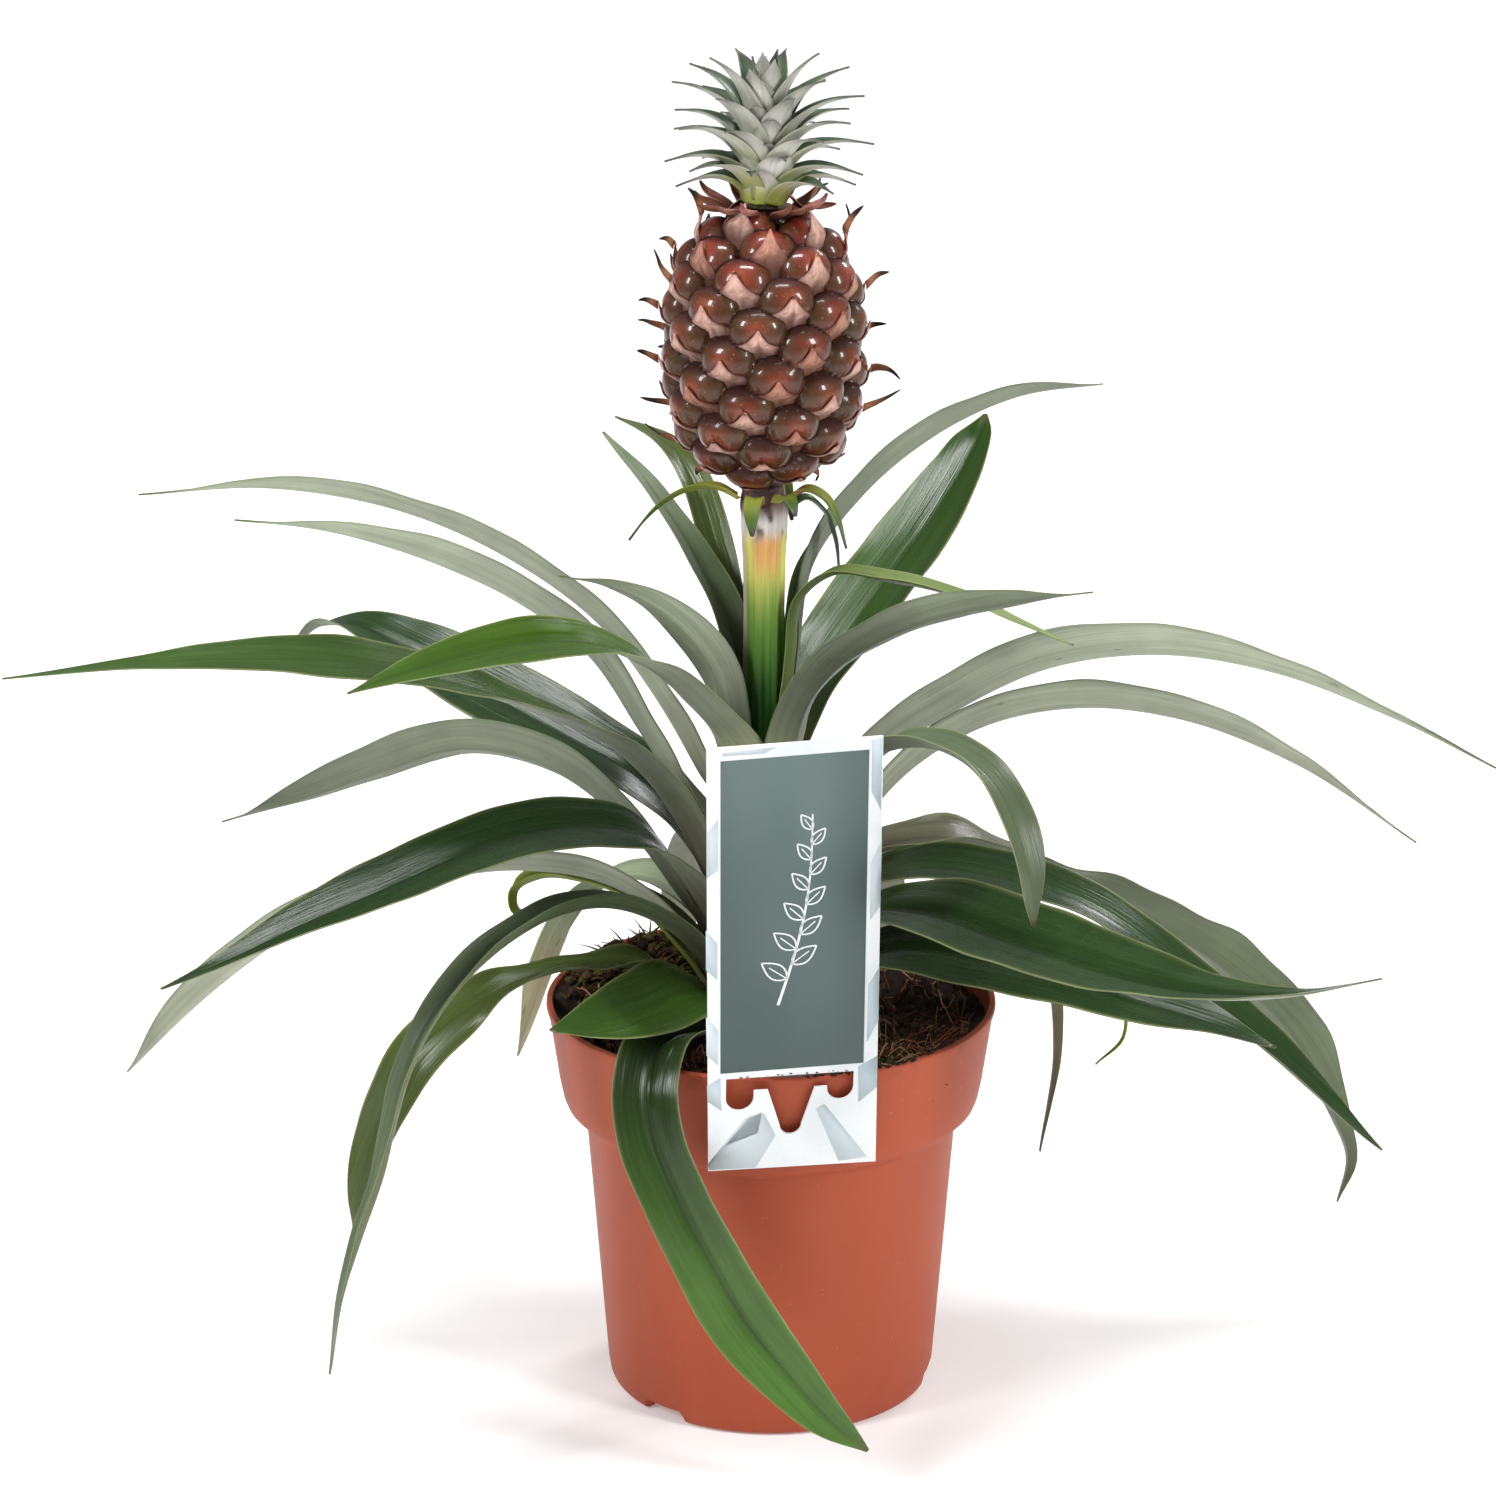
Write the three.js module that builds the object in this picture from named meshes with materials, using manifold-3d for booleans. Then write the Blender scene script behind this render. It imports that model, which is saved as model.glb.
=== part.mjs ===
// A young pineapple plant with one ripe fruit, standing in a round nursery pot, with a hanging card label.
// Millimetres, +Z up. The origin is the middle of the pot's flat base, and the plant is seen from -Y.
import * as THREE from "three";
import { mergeVertices } from "three/addons/utils/BufferGeometryUtils.js";
import Module from "manifold-3d";

const wasm = await Module();
wasm.setup();

// Driving dimensions
const gap = 0.3; // left between neighbours that touch on the real plant
const plantX = -2; // the plant stands a little left of the pot's middle
const rimRadius = 60;
const rimHeight = 108;
const collarFoot = 77; // height where the collar steps in to the body
const bodyRadius = 50;
const baseRadius = 44;
const wall = 1.3;
const floorTop = 4.2;
const footHeight = 2.6;
const padRadius = 14; // middle of the base, pressed down level with the foot
const soilHeight = 94;
const soilBank = 7; // rise of the peat along the wall at the sides and the back
const bladeThickness = 0.8;
const fruitMiddle = 284;
const fruitHalfHeight = 35;
const fruitRadius = 24.6;
const stalkTop = 248.4;
const crownBottom = fruitMiddle + fruitHalfHeight + gap;

// Short stem inside the rosette and the stalk above it, as height and radius
const stemProfile = [
  [84, 12.4], [97, 13.2], [112, 14.6], [128, 14.6], [142, 13.4], [154, 11.6], [164, 9.6],
  [173, 7.8], [182, 6.4], [193, 5.7], [215, 5.4], [228, 5.6], [236, 6.1], [243, 6.3], [stalkTop, 5.2],
];

// Each leaf: name, compass angle of its way out, and stations along the midrib.
// A station is reach, sideways shift, height, width, roll in degrees and how far the sides fold up.
const leaves = [
  ["leaf_upright_back_left", 134, [
    [9, 0, 178, 7, 0, 12], [9.4, 0, 190, 10, 0, 18], [11, 0, 201, 12, 0, 22], [16.4, 0, 212.5, 12, 0, 25],
    [25, 0, 223, 10.6, 0, 25], [36, 0, 233.4, 8.4, 0, 25], [48, 0, 243, 5.6, 0, 20], [61.7, 0, 251.8, 1, 0, 0],
  ]],
  ["leaf_upright_back", 106, [
    [9.2, 0, 174, 5, 0, 12], [14, 1, 195, 7, 0, 20], [20, 3, 211, 8, 0, 25], [29, 5, 225, 10, 0, 25],
    [39, 7, 238, 10, 0, 25], [52, 10, 246, 8, 0, 20], [68, 14, 248.5, 5, 0, 15], [84, 18, 249, 1, 0, 0],
  ]],
  ["leaf_tall_right", 36, [
    [9, 0, 178, 6, 0, 12], [10.5, 0, 202, 9, -10, 20], [15, 0, 225, 12, -35, 25], [31, 0, 241, 13, -50, 25],
    [55, 0, 254, 13, -50, 20], [85, 0, 261, 8, -40, 15], [114, 0, 260, 1, -20, 0],
  ]],
  ["leaf_broad_back_right", 55, [
    [10, 0, 168, 11, 0, 12], [17, 0, 184, 18, 0, 20], [33, 0, 195, 24, 0, 20], [55, 0, 208, 26, 0, 16],
    [78, 0, 221, 24, 0, 16], [96, 0, 234, 17, 0, 18], [105, 0, 242, 10, 0, 20], [108, 0, 247, 1.2, 0, 0],
  ]],
  ["leaf_thin_inner_right", 338, [
    [8, 0, 184, 5, 0, 12], [8.4, 0, 205, 6, 0, 20], [10.5, 0, 219, 6, 0, 20], [18.5, 0, 226, 7, 0, 20],
    [35, 0, 226, 8, 0, 20], [52, 0, 224, 7, 0, 20], [68, 0, 219, 4, 0, 10], [84, 0, 214, 1, 0, 0],
  ]],
  ["leaf_front_right", 322, [
    [10, -2, 166, 9, 0, 8], [12, -3.6, 180, 15, 0, 16], [15.6, -3.2, 192, 18, 0, 18],
    [23, -2, 202.6, 17, -12, 18], [36, 0, 212.6, 15, -26, 20], [58, 0, 223.4, 14, -36, 20],
    [80, 0, 230.4, 8.6, -34, 16], [101, 0, 236, 1, 0, 0],
  ]],
  ["leaf_long_right_upper", 346, [
    [14, 0, 154, 9, 0, 10], [20, 0, 165, 15, -5, 20], [32, 0, 178.6, 22.4, -15, 26],
    [50, 0, 191.4, 24.4, -25, 28], [75, 0, 205, 24, -30, 30], [104, 0, 210.6, 20, -30, 30],
    [132, 0, 208, 14, -25, 25], [162, 0, 198, 7, -15, 20], [189, 0, 186, 1, 0, 0],
  ]],
  ["leaf_long_right_lower", 357, [
    [15, 0, 138, 10, 0, 10], [24, 0, 155, 15, -5, 20], [38, 0, 172, 19, -15, 28], [57, 0, 184.4, 19.4, -25, 30],
    [82, 0, 190, 20, -28, 30], [110, 0, 187, 17, -25, 30], [138, 0, 176, 11, -20, 25], [171, 0, 154, 1, 0, 0],
  ]],
  ["leaf_curled_right", 307, [
    [16, 0, 150, 9, 0, 10], [25, 0, 166, 13, 0, 18], [38, 0, 181, 18, 0, 20], [56, 0, 191.5, 18, 0, 22],
    [74, 0, 195, 16, -8, 22], [89, 0, 192, 15, -15, 22], [100, 0, 183, 14, -12, 20], [106, 0, 171, 10, -10, 18],
    [108.6, 0, 158.6, 1, 0, 0],
  ]],
  ["leaf_broad_front_right", 310, [
    [16, 0, 122, 12, 0, 8], [24, 0, 132, 18, 5, 12], [40, 0, 142.6, 23, 8, 13], [64, 0, 149, 28, 12, 12],
    [96, 0, 150.4, 28, 14, 10], [128, 0, 151.4, 24, 14, 10], [158, 0, 154.6, 15, 10, 12],
    [186, 0, 162, 6, 5, 12], [213.6, 0, 173.8, 1, 0, 0],
  ]],
  ["leaf_hanging_right", 20, [
    [16, 0, 124, 10, 0, 8], [28, 0, 137, 14, 0, 18], [46, 0, 141, 17, 0, 18], [62, 0, 134, 18, 0, 18],
    [76, 0, 120, 15, 0, 20], [84, 0, 100, 9, 0, 20], [86, 0, 80, 5, 0, 15], [82, 0, 51, 1, 0, 0],
  ]],
  ["leaf_arched_right", 338, [
    [16, 0, 132, 10, 0, 8], [26, 0, 142, 15, 5, 12], [44, 0, 149, 22, 8, 14], [68, 0, 149, 24, 5, 14],
    [92, 0, 143, 22, 0, 16], [114, 0, 130, 20, 0, 18], [136, 0, 115, 17, 0, 20], [154, 0, 101, 10, 0, 20],
    [169, 0, 90, 1, 0, 0],
  ]],
  ["leaf_far_right", 9, [
    [16, 0, 134, 10, 0, 8], [28, 0, 146, 14, 0, 15], [46, 0, 150, 20, 0, 18], [70, 0, 142, 23, -10, 18],
    [98, 0, 128, 24, -30, 15], [126, 0, 110, 22, -45, 15], [148, 0, 88, 17, -50, 18], [161, 0, 62, 8, -40, 20],
    [165, 0, 49, 5, -20, 15], [162, 0, 37, 1, 0, 0],
  ]],
  ["leaf_low_right", 328, [
    [16, 0, 112, 11, 5, 8], [26, 0, 122, 17, 10, 12], [42, 0, 129, 23, 16, 10], [66, 0, 131, 27, 19, 8],
    [92, 0, 131, 26, 18, 8], [116, 0, 128, 20, 18, 12], [136, 0, 126, 9, 10, 12], [149, 0, 124, 1, 0, 0],
  ]],
  ["leaf_thin_low_right", 357, [
    [17, 0, 106, 9, 0, 8], [28, 0, 118, 11, 0, 18], [45, 0, 127, 11, 0, 20], [67, 0, 125, 10, 0, 20],
    [85, 0, 117, 7, 0, 20], [96, 0, 107, 4, 0, 15], [96, 0, 98, 3, 0, 10], [89, 0, 90, 1, 0, 0],
  ]],
  ["leaf_long_left_upper", 187, [
    [14, 0, 160, 9, 0, 10], [17, 0, 172, 12, 10, 20], [26, 0, 189, 13, 20, 22], [42, 0, 212, 13, 25, 22],
    [64, 0, 230, 13, 30, 22], [92, 0, 244, 12, 30, 20], [124, 0, 251, 9, 30, 20], [159, 0, 250, 1, 0, 0],
  ]],
  ["leaf_long_left_lower", 174, [
    [15, 0, 149, 9, 0, 10], [21, 0, 163, 13, 10, 20], [32, 0, 181, 15, 25, 22], [46, 0, 202, 16, 35, 25],
    [65, 0, 216, 17, 40, 25], [90, 0, 227, 15, 40, 22], [114, 0, 233, 9, 30, 15], [139, 0, 235, 1, 0, 0],
  ]],
  ["leaf_short_inner_left", 205, [
    [10, 0, 176, 7, 5, 10], [10.8, 0, 188, 11, 20, 18], [14, 0, 200, 14, 38, 18], [20, 0, 209, 13, 45, 18],
    [30, 0, 218.6, 10, 42, 18], [43, 0, 226, 6, 30, 15], [57, 0, 230, 1, 0, 0],
  ]],
  ["leaf_front_left", 225, [
    [10, 0, 164, 13, 0, 12], [13, 0, 180, 18, 0, 18], [25, 0, 194, 19, 0, 18], [40, 0, 207, 18, -6, 18],
    [58, 0, 216.5, 18, -18, 15], [80, 0, 221.5, 17, -26, 12], [104, 0, 222.5, 13, -26, 12],
    [124, 0, 222, 7, -18, 10], [139, 0, 221, 1, 0, 0],
  ]],
  ["leaf_longest_left", 210, [
    [15, 0, 136, 9, 0, 8], [19.5, 0, 150, 13, 5, 15], [29, 0, 168, 19, 8, 15], [44, 0, 184, 20, 5, 15],
    [66, 0, 197, 19, -3, 15], [92, 0, 209, 19, -16, 12], [122, 0, 218, 18, -24, 12], [154, 0, 223, 11, -20, 12],
    [182, 0, 225, 5, -8, 10], [206, 0, 226, 1, 0, 0],
  ]],
  ["leaf_broad_back_left", 155, [
    [15, 0, 136, 10, 0, 8], [24, 0, 152, 16, 0, 15], [37, 0, 164, 23, -10, 12], [58, 0, 173, 26, -18, 10],
    [84, 0, 183, 26, -20, 10], [108, 0, 192, 22, -15, 12], [126, 0, 196, 13, 0, 18], [135, 0, 194.4, 7, 20, 20],
    [142.6, 0, 189, 1, 25, 0],
  ]],
  ["leaf_grey_left", 176, [
    [16, 0, 124, 9, 0, 10], [24, 0, 139, 12, 12, 18], [36, 0, 155, 16, 28, 22], [55, 0, 170.4, 18, 44, 22],
    [78, 0, 176, 18, 50, 22], [104, 0, 168, 17, 50, 22], [126, 0, 159.4, 11, 38, 20],
    [144.6, 0, 153.4, 1, 0, 0],
  ]],
  ["leaf_broad_front_left", 215, [
    [16, 0, 126, 12, 0, 8], [24, 0, 144, 19, -5, 12], [37, 0, 159, 23, -15, 10], [58, 0, 166, 24, -18, 10],
    [86, 0, 166, 22, -16, 14], [112, 0, 161, 20, -16, 18], [138, 0, 156, 14, -16, 24], [160, 0, 151, 6, -8, 20],
    [177, 0, 148, 1, 0, 0],
  ]],
  ["leaf_under_left", 180, [
    [17, 0, 114, 11, 0, 8], [25, 0, 129, 15, 10, 18], [41, 0, 140, 18, 25, 20], [64, 0, 144, 19, 30, 20],
    [92, 0, 140, 20, 35, 20], [118, 0, 131, 20, 35, 20], [142, 0, 115, 19, 35, 18], [160, 0, 98, 13, 30, 15],
    [171, 0, 86, 1, 20, 0],
  ]],
  ["leaf_drooping_left", 218, [
    [17, 0, 111, 9, 0, 8], [24, 0, 127.4, 12, 0, 18], [38.4, 0, 139.6, 12, 5, 28], [53.4, 0, 145.5, 11, 8, 34],
    [68, 0, 146, 11, 8, 38], [81, 0, 142.6, 11, 5, 38], [93, 0, 136.5, 11, 0, 38], [102, 0, 129.5, 10, 0, 34],
    [109, 0, 121.5, 9.5, 0, 30], [114, 0, 112, 9, 5, 30], [118, 0, 101, 8, 10, 30], [122, 0, 88.5, 8, 20, 28],
    [129, 0, 72.8, 7.5, 25, 25], [134.6, 0, 58.4, 5, 20, 20], [139, 0, 38.5, 1, 10, 0],
  ]],
  ["leaf_drooping_left_inner", 203, [
    [17, 0, 104.6, 8, 0, 8], [23, 0, 114.6, 9.4, 0, 15], [33, 0, 120.5, 12, 0, 20], [47, 0, 123.4, 11.6, 0, 24],
    [60, 0, 123.6, 11, -2, 22], [72, 0, 121.4, 11.6, -12, 18], [83, 0, 116.4, 13, -30, 15],
    [92, 0, 110.6, 14.4, -46, 12], [99, 0, 104.4, 14, -58, 12], [104, 0, 96.4, 12.6, -62, 15],
    [108.4, 0, 88, 11, -60, 15], [112, 0, 79, 9, -56, 15], [114.7, 0, 69, 5, -50, 12], [116, 0, 59.5, 1, 0, 0],
  ]],
  ["leaf_short_front", 236, [
    [17, 0, 105, 8, -5, 8], [25, 0, 115.5, 15, -15, 10], [37, 0, 120.6, 23, -25, 10],
    [52, 0, 121.6, 22, -30, 8], [68, 0, 123, 17, -32, 8], [83, 0, 125.4, 9, -30, 8], [94, 0, 128, 2, -10, 0],
  ]],
  ["leaf_over_pot_front", 262, [
    [17, 0, 102.5, 8, 0, 6], [26, -3, 109, 13, 0, 10], [42, -12, 113, 16, 0, 12], [57, -19.6, 114, 17, 0, 14],
    [65, -21, 106.5, 17.5, 0, 14], [69, -19, 95, 18, 0, 16], [71.5, -12.6, 80, 18, 0, 16],
    [73, -4.2, 64, 19, 0, 14], [74, 6, 46.6, 19.4, 0, 12], [75, 17.4, 33, 16, 0, 14],
    [75.6, 28.4, 21.6, 10, 0, 16], [76, 37.4, 14.4, 1, 0, 0],
  ]],
  ["leaf_hanging_back_left", 150, [
    [17, 0, 122, 11, 0, 8], [25, 0, 132, 15, 0, 15], [38, 0, 135, 17, 0, 20], [51, 0, 130, 18, 0, 20],
    [61, 0, 118, 18, 0, 20], [68, 0, 103, 17, 0, 18], [74, 0, 87, 9, 0, 15], [79, 0, 75, 1, 0, 0],
  ]],
  ["leaf_looped_left", 171, [
    [17, 0, 108, 8, 0, 8], [25, 0, 123, 10, 0, 16], [35, 0, 133, 11, 0, 20], [49, 0, 138, 11, 0, 20],
    [61, 0, 138, 10, 0, 25], [67, 0, 134, 8, 0, 25], [67, 0, 129, 6, 0, 20], [60, 0, 127, 4, 0, 10],
    [52, 0, 129, 1, 0, 0],
  ]],
  ["leaf_low_back_left", 104, [
    [17, 0, 116, 11, 0, 8], [27, 0, 130, 11, 0, 15], [45, 0, 136, 18, 0, 18], [66, 0, 130, 18, 0, 18],
    [86, 0, 113, 16, 0, 18], [99, 0, 92, 10, 0, 15], [106, 0, 72, 1, 0, 0],
  ]],
  ["leaf_low_back", 88, [
    [16, 0, 130, 11, 0, 8], [28, 0, 143, 16, 0, 15], [50, 0, 148, 20, 0, 16], [78, 0, 142, 20, 0, 16],
    [104, 0, 126, 17, 0, 16], [124, 0, 102, 10, 0, 15], [134, 0, 78, 1, 0, 0],
  ]],
  ["leaf_low_back_right", 68, [
    [17, 0, 118, 11, 0, 8], [27, 0, 131, 12, 0, 15], [46, 0, 137, 19, 0, 16], [68, 0, 131, 19, 0, 16],
    [86, 0, 116, 16, 0, 16], [98, 0, 96, 9, 0, 15], [103, 0, 78, 1, 0, 0],
  ]],
];

// Small leaves on the stalk just under the fruit, in the same form
const bracts = [
  ["bract_long_left", 188, [
    [6.9, 0, 244.6, 6, 0, 20], [12, 0, 247.2, 6, 0, 25], [18, 0, 247.4, 5.5, 15, 25],
    [25, 0, 244.6, 4.5, 25, 20], [31, 0, 239.6, 2.5, 20, 10], [35, 0, 234.5, 1, 0, 0],
  ]],
  ["bract_hanging_front", 256, [
    [6.9, 0, 244.2, 4, 0, 10], [10, 0, 246.4, 5, 0, 20], [12.5, 0, 244.4, 4.6, 0, 20],
    [13, 0, 241, 3, 0, 10], [12.6, 0, 237.4, 1, 0, 0],
  ]],
  ["bract_short_front", 300, [
    [6.9, 0, 244.8, 4, 0, 10], [10.4, 0, 246.8, 5, 0, 20], [14, 0, 245.8, 3.6, 0, 15], [16, 0, 243, 1, 0, 0],
  ]],
  ["bract_long_right", 344, [
    [6.9, 0, 244.6, 5, 0, 15], [11, 0, 247, 6, 0, 25], [15.6, 0, 245.4, 5.6, 0, 25],
    [19.4, 0, 240.2, 4, 0, 15], [22, 0, 232.6, 1, 0, 0],
  ]],
  ["bract_grey_right", 10, [
    [6.9, 0, 241.4, 4.6, 0, 15], [11, 0, 243.8, 5.4, 0, 20], [15.4, 0, 240.6, 5.4, 0, 20],
    [18.4, 0, 233.6, 4.4, 0, 15], [20, 0, 223.4, 1, 0, 0],
  ]],
  ["bract_back", 72, [
    [6.9, 0, 243.8, 5, 0, 15], [11, 0, 246.4, 6, 0, 25], [16, 0, 245, 5, 0, 25],
    [21, 0, 239.6, 3, 0, 15], [24, 0, 233, 1, 0, 0],
  ]],
];

const looks = {
  leaf: { color: 0x4c6b45, roughness: 0.45, metalness: 0 },
  bract: { color: 0x7d8b42, roughness: 0.5, metalness: 0 },
  stem: { color: 0x9aa85a, roughness: 0.55, metalness: 0 },
  fruit: { color: 0x6b3a2c, roughness: 0.35, metalness: 0 },
  crown: { color: 0x8b9a86, roughness: 0.55, metalness: 0 },
  soil: { color: 0x33231b, roughness: 1, metalness: 0 },
  pot: { color: 0xb95a42, roughness: 0.5, metalness: 0 },
  label: { color: 0xdde2e3, roughness: 0.4, metalness: 0 },
};

const radians = THREE.MathUtils.degToRad;

// A closed geometry as a solid that can be joined and cut, and back again
function solidOf(geometry) {
  const bare = geometry.clone();
  bare.deleteAttribute("normal");
  bare.deleteAttribute("uv");
  const merged = mergeVertices(bare, 1e-4);
  return new wasm.Manifold(new wasm.Mesh({
    numProp: 3,
    vertProperties: new Float32Array(merged.attributes.position.array),
    triVerts: new Uint32Array(merged.index.array),
  }));
}

function geometryOf(solid) {
  const made = solid.getMesh();
  const geometry = new THREE.BufferGeometry();
  geometry.setAttribute("position", new THREE.BufferAttribute(made.vertProperties, 3));
  geometry.setIndex(new THREE.BufferAttribute(made.triVerts, 1));
  return geometry;
}

// Parts grown into one another, without the small hollows that close up between them
function grown(parts) {
  const pieces = wasm.Manifold.union(parts).decompose();
  return geometryOf(pieces.sort((a, b) => b.volume() - a.volume())[0]);
}

function meshOf(name, geometry, look) {
  geometry.computeVertexNormals();
  const mesh = new THREE.Mesh(geometry, new THREE.MeshStandardMaterial(looks[look]));
  mesh.name = name;
  return mesh;
}

// A turned solid about +Z from points of radius and height
function turned(profile, sides) {
  const points = profile.map(([radius, height]) => new THREE.Vector2(radius, height));
  return new THREE.LatheGeometry(points, sides).rotateX(Math.PI / 2);
}

// Value at x on a line of [x, value] points
function along(points, x) {
  for (let i = 1; i < points.length; i += 1) {
    const [x0, y0] = points[i - 1];
    const [x1, y1] = points[i];
    if (x <= x1) return THREE.MathUtils.lerp(y0, y1, Math.max(0, (x - x0) / (x1 - x0)));
  }
  return points.at(-1)[1];
}

// Smooth curve through the stations, even along its length: each sample is the station there and its slope
function sampled(stations, steps) {
  const reach = (a, b) => Math.hypot(b[0] - a[0], b[1] - a[1], b[2] - a[2]);
  const spans = stations.slice(1).map((station, i) => reach(stations[i], station));
  const last = spans.length;
  const rate = (i) => stations[i].map((value, c) => (stations[i + 1][c] - value) / spans[i]);
  const slopes = stations.map((_, i) => {
    if (i === 0) return rate(0);
    if (i === last) return rate(last - 1);
    const before = rate(i - 1);
    const after = rate(i);
    const both = spans[i - 1] + spans[i];
    return before.map((value, c) => (value * spans[i] + after[c] * spans[i - 1]) / both);
  });
  const total = spans.reduce((sum, span) => sum + span, 0);
  return Array.from({ length: steps + 1 }, (_, step) => {
    let rest = (total * step) / steps;
    let i = 0;
    while (i < last - 1 && rest > spans[i]) {
      rest -= spans[i];
      i += 1;
    }
    const t = Math.min(1, rest / spans[i]);
    const span = spans[i];
    const place = stations[i].map((a, c) => {
      const b = stations[i + 1][c];
      const pull = (t ** 3 - 2 * t ** 2 + t) * slopes[i][c] + (t ** 3 - t ** 2) * slopes[i + 1][c];
      return a + (b - a) * (3 * t ** 2 - 2 * t ** 3) + pull * span;
    });
    const slope = stations[i].map((a, c) => {
      const b = stations[i + 1][c];
      const pull = (3 * t ** 2 - 4 * t + 1) * slopes[i][c] + (3 * t ** 2 - 2 * t) * slopes[i + 1][c];
      return ((b - a) * (6 * t - 6 * t ** 2)) / span + pull;
    });
    return { place, slope };
  });
}

// Sideways and upward shift of a folded blade at u from -1 to 1, and how steep it is there
function foldAt(u, width, fold) {
  const angle = Math.max(radians(fold), 0.01);
  const half = width / 2;
  const start = 0.4;
  const growth = 1.2;
  const end = start + growth * Math.abs(u);
  return {
    side: (Math.sign(u) * half * (Math.sin(angle * end) - Math.sin(angle * start))) / (angle * growth),
    rise: (half * (Math.cos(angle * start) - Math.cos(angle * end))) / (angle * growth),
    lean: u === 0 ? 0 : Math.sign(u) * angle * end,
  };
}

// A closed body between two like grids of points, the upper face of which looks along its normals
function slab(upper, lower) {
  const rows = upper.length;
  const columns = upper[0].length;
  const points = [...upper.flat(), ...lower.flat()];
  const top = (i, k) => i * columns + k;
  const under = (i, k) => rows * columns + top(i, k);
  const faces = [];
  const quad = (a, b, c, d) => faces.push(a, b, c, a, c, d);
  for (let i = 0; i < rows - 1; i += 1) {
    for (let k = 0; k < columns - 1; k += 1) {
      quad(top(i, k), top(i + 1, k), top(i + 1, k + 1), top(i, k + 1));
      faces.push(under(i, k), under(i + 1, k + 1), under(i + 1, k));
      faces.push(under(i, k), under(i, k + 1), under(i + 1, k + 1));
    }
    quad(top(i, 0), under(i, 0), under(i + 1, 0), top(i + 1, 0));
    quad(top(i, columns - 1), top(i + 1, columns - 1), under(i + 1, columns - 1), under(i, columns - 1));
  }
  for (let k = 0; k < columns - 1; k += 1) {
    quad(top(0, k), top(0, k + 1), under(0, k + 1), under(0, k));
    quad(top(rows - 1, k), under(rows - 1, k), under(rows - 1, k + 1), top(rows - 1, k + 1));
  }
  const geometry = new THREE.BufferGeometry();
  geometry.setAttribute("position", new THREE.Float32BufferAttribute(points.flatMap((p) => p.toArray()), 3));
  geometry.setIndex(faces);
  return geometry;
}

// A folded blade along its stations, springing from the axis at angle azimuth
function blade(azimuth, stations, steps, across, thickness) {
  const way = radians(azimuth);
  const outward = new THREE.Vector3(Math.cos(way), Math.sin(way), 0);
  const sideways = new THREE.Vector3(-Math.sin(way), Math.cos(way), 0);
  const upper = [];
  const lower = [];
  for (const { place, slope } of sampled(stations, steps)) {
    const [reach, shift, height, width, roll, fold] = place;
    const centre = new THREE.Vector3(plantX, 0, height)
      .addScaledVector(outward, reach)
      .addScaledVector(sideways, shift);
    const tangent = new THREE.Vector3(0, 0, slope[2])
      .addScaledVector(outward, slope[0])
      .addScaledVector(sideways, slope[1])
      .normalize();
    const left = sideways.clone().addScaledVector(tangent, -sideways.dot(tangent)).normalize();
    left.applyAxisAngle(tangent, radians(roll));
    const up = tangent.clone().cross(left);
    const ring = Array.from({ length: across + 1 }, (_, k) => {
      const { side, rise, lean } = foldAt((2 * k) / across - 1, Math.max(width, 1), fold);
      const point = centre.clone().addScaledVector(left, side).addScaledVector(up, rise);
      const normal = up.clone().multiplyScalar(Math.cos(lean)).addScaledVector(left, -Math.sin(lean));
      return [point, normal];
    });
    upper.push(ring.map(([point, normal]) => point.clone().addScaledVector(normal, thickness / 2)));
    lower.push(ring.map(([point, normal]) => point.clone().addScaledVector(normal, -thickness / 2)));
  }
  return slab(upper, lower);
}

// A rosette leaf, which springs from the skin of the stem
function leafMesh([name, azimuth, stations]) {
  const [[, shift, height, ...rest], ...others] = stations;
  const skin = along(stemProfile, height) + gap + bladeThickness;
  const start = [Math.sqrt(skin ** 2 - shift ** 2), shift, height, ...rest];
  const reach = stations.at(-1)[0];
  const widest = Math.max(...stations.map((station) => station[3]));
  const steps = Math.round(THREE.MathUtils.clamp(7 + reach / 18, 10, 16));
  const across = widest > 22 ? 4 : 2;
  return meshOf(name, blade(azimuth, [start, ...others], steps, across, bladeThickness), "leaf");
}

function bractMesh([name, azimuth, stations]) {
  return meshOf(name, blade(azimuth, stations, 7, 2, 0.7), "bract");
}

// The pot: foot, body, collar and rim outside, the same shape a wall's thickness inside
const potOutside = [
  [42.4, 0], [43.9, 1.6], [baseRadius + 0.4, 5], [bodyRadius - 0.2, collarFoot - 0.6],
  [bodyRadius + 0.6, collarFoot + 0.2], [53.6, 78.8], [55.8, 82], [56.8, 87], [59.2, 104], [rimRadius, 106.6],
];
const potInside = potOutside
  .slice(2)
  .map(([radius, height]) => [radius - wall, Math.max(height, floorTop) + (height > 76 && height < 84 ? 1 : 0)]);

function potMesh() {
  const sides = 36;
  const body = solidOf(turned([
    [0, 0], [padRadius, 0], [padRadius + 1, footHeight], [39.4, footHeight], [40.2, 0],
    ...potOutside, [rimRadius - 0.3, rimHeight], [rimRadius - 1.6, rimHeight],
    ...[...potInside].reverse(), [40, floorTop], [0, floorTop],
  ], sides));
  const cuts = [];
  // Three arches in the foot let water run out
  for (const angle of [109, 229, 349]) {
    const arch = new THREE.BoxGeometry(16, 12, 2 * 3.4).translate(baseRadius, 0, 0);
    cuts.push(solidOf(arch.rotateZ(radians(angle))));
  }
  // Drain holes through the floor, each over the space behind the foot
  for (const angle of [49, 109, 169, 229, 289, 349]) {
    const hole = new THREE.CylinderGeometry(3, 3, 12, 8).rotateX(Math.PI / 2).translate(31, 0, 0);
    cuts.push(solidOf(hole.rotateZ(radians(angle))));
  }
  return meshOf("pot", geometryOf(cuts.reduce((left, cut) => left.subtract(cut), body)), "pot");
}

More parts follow.
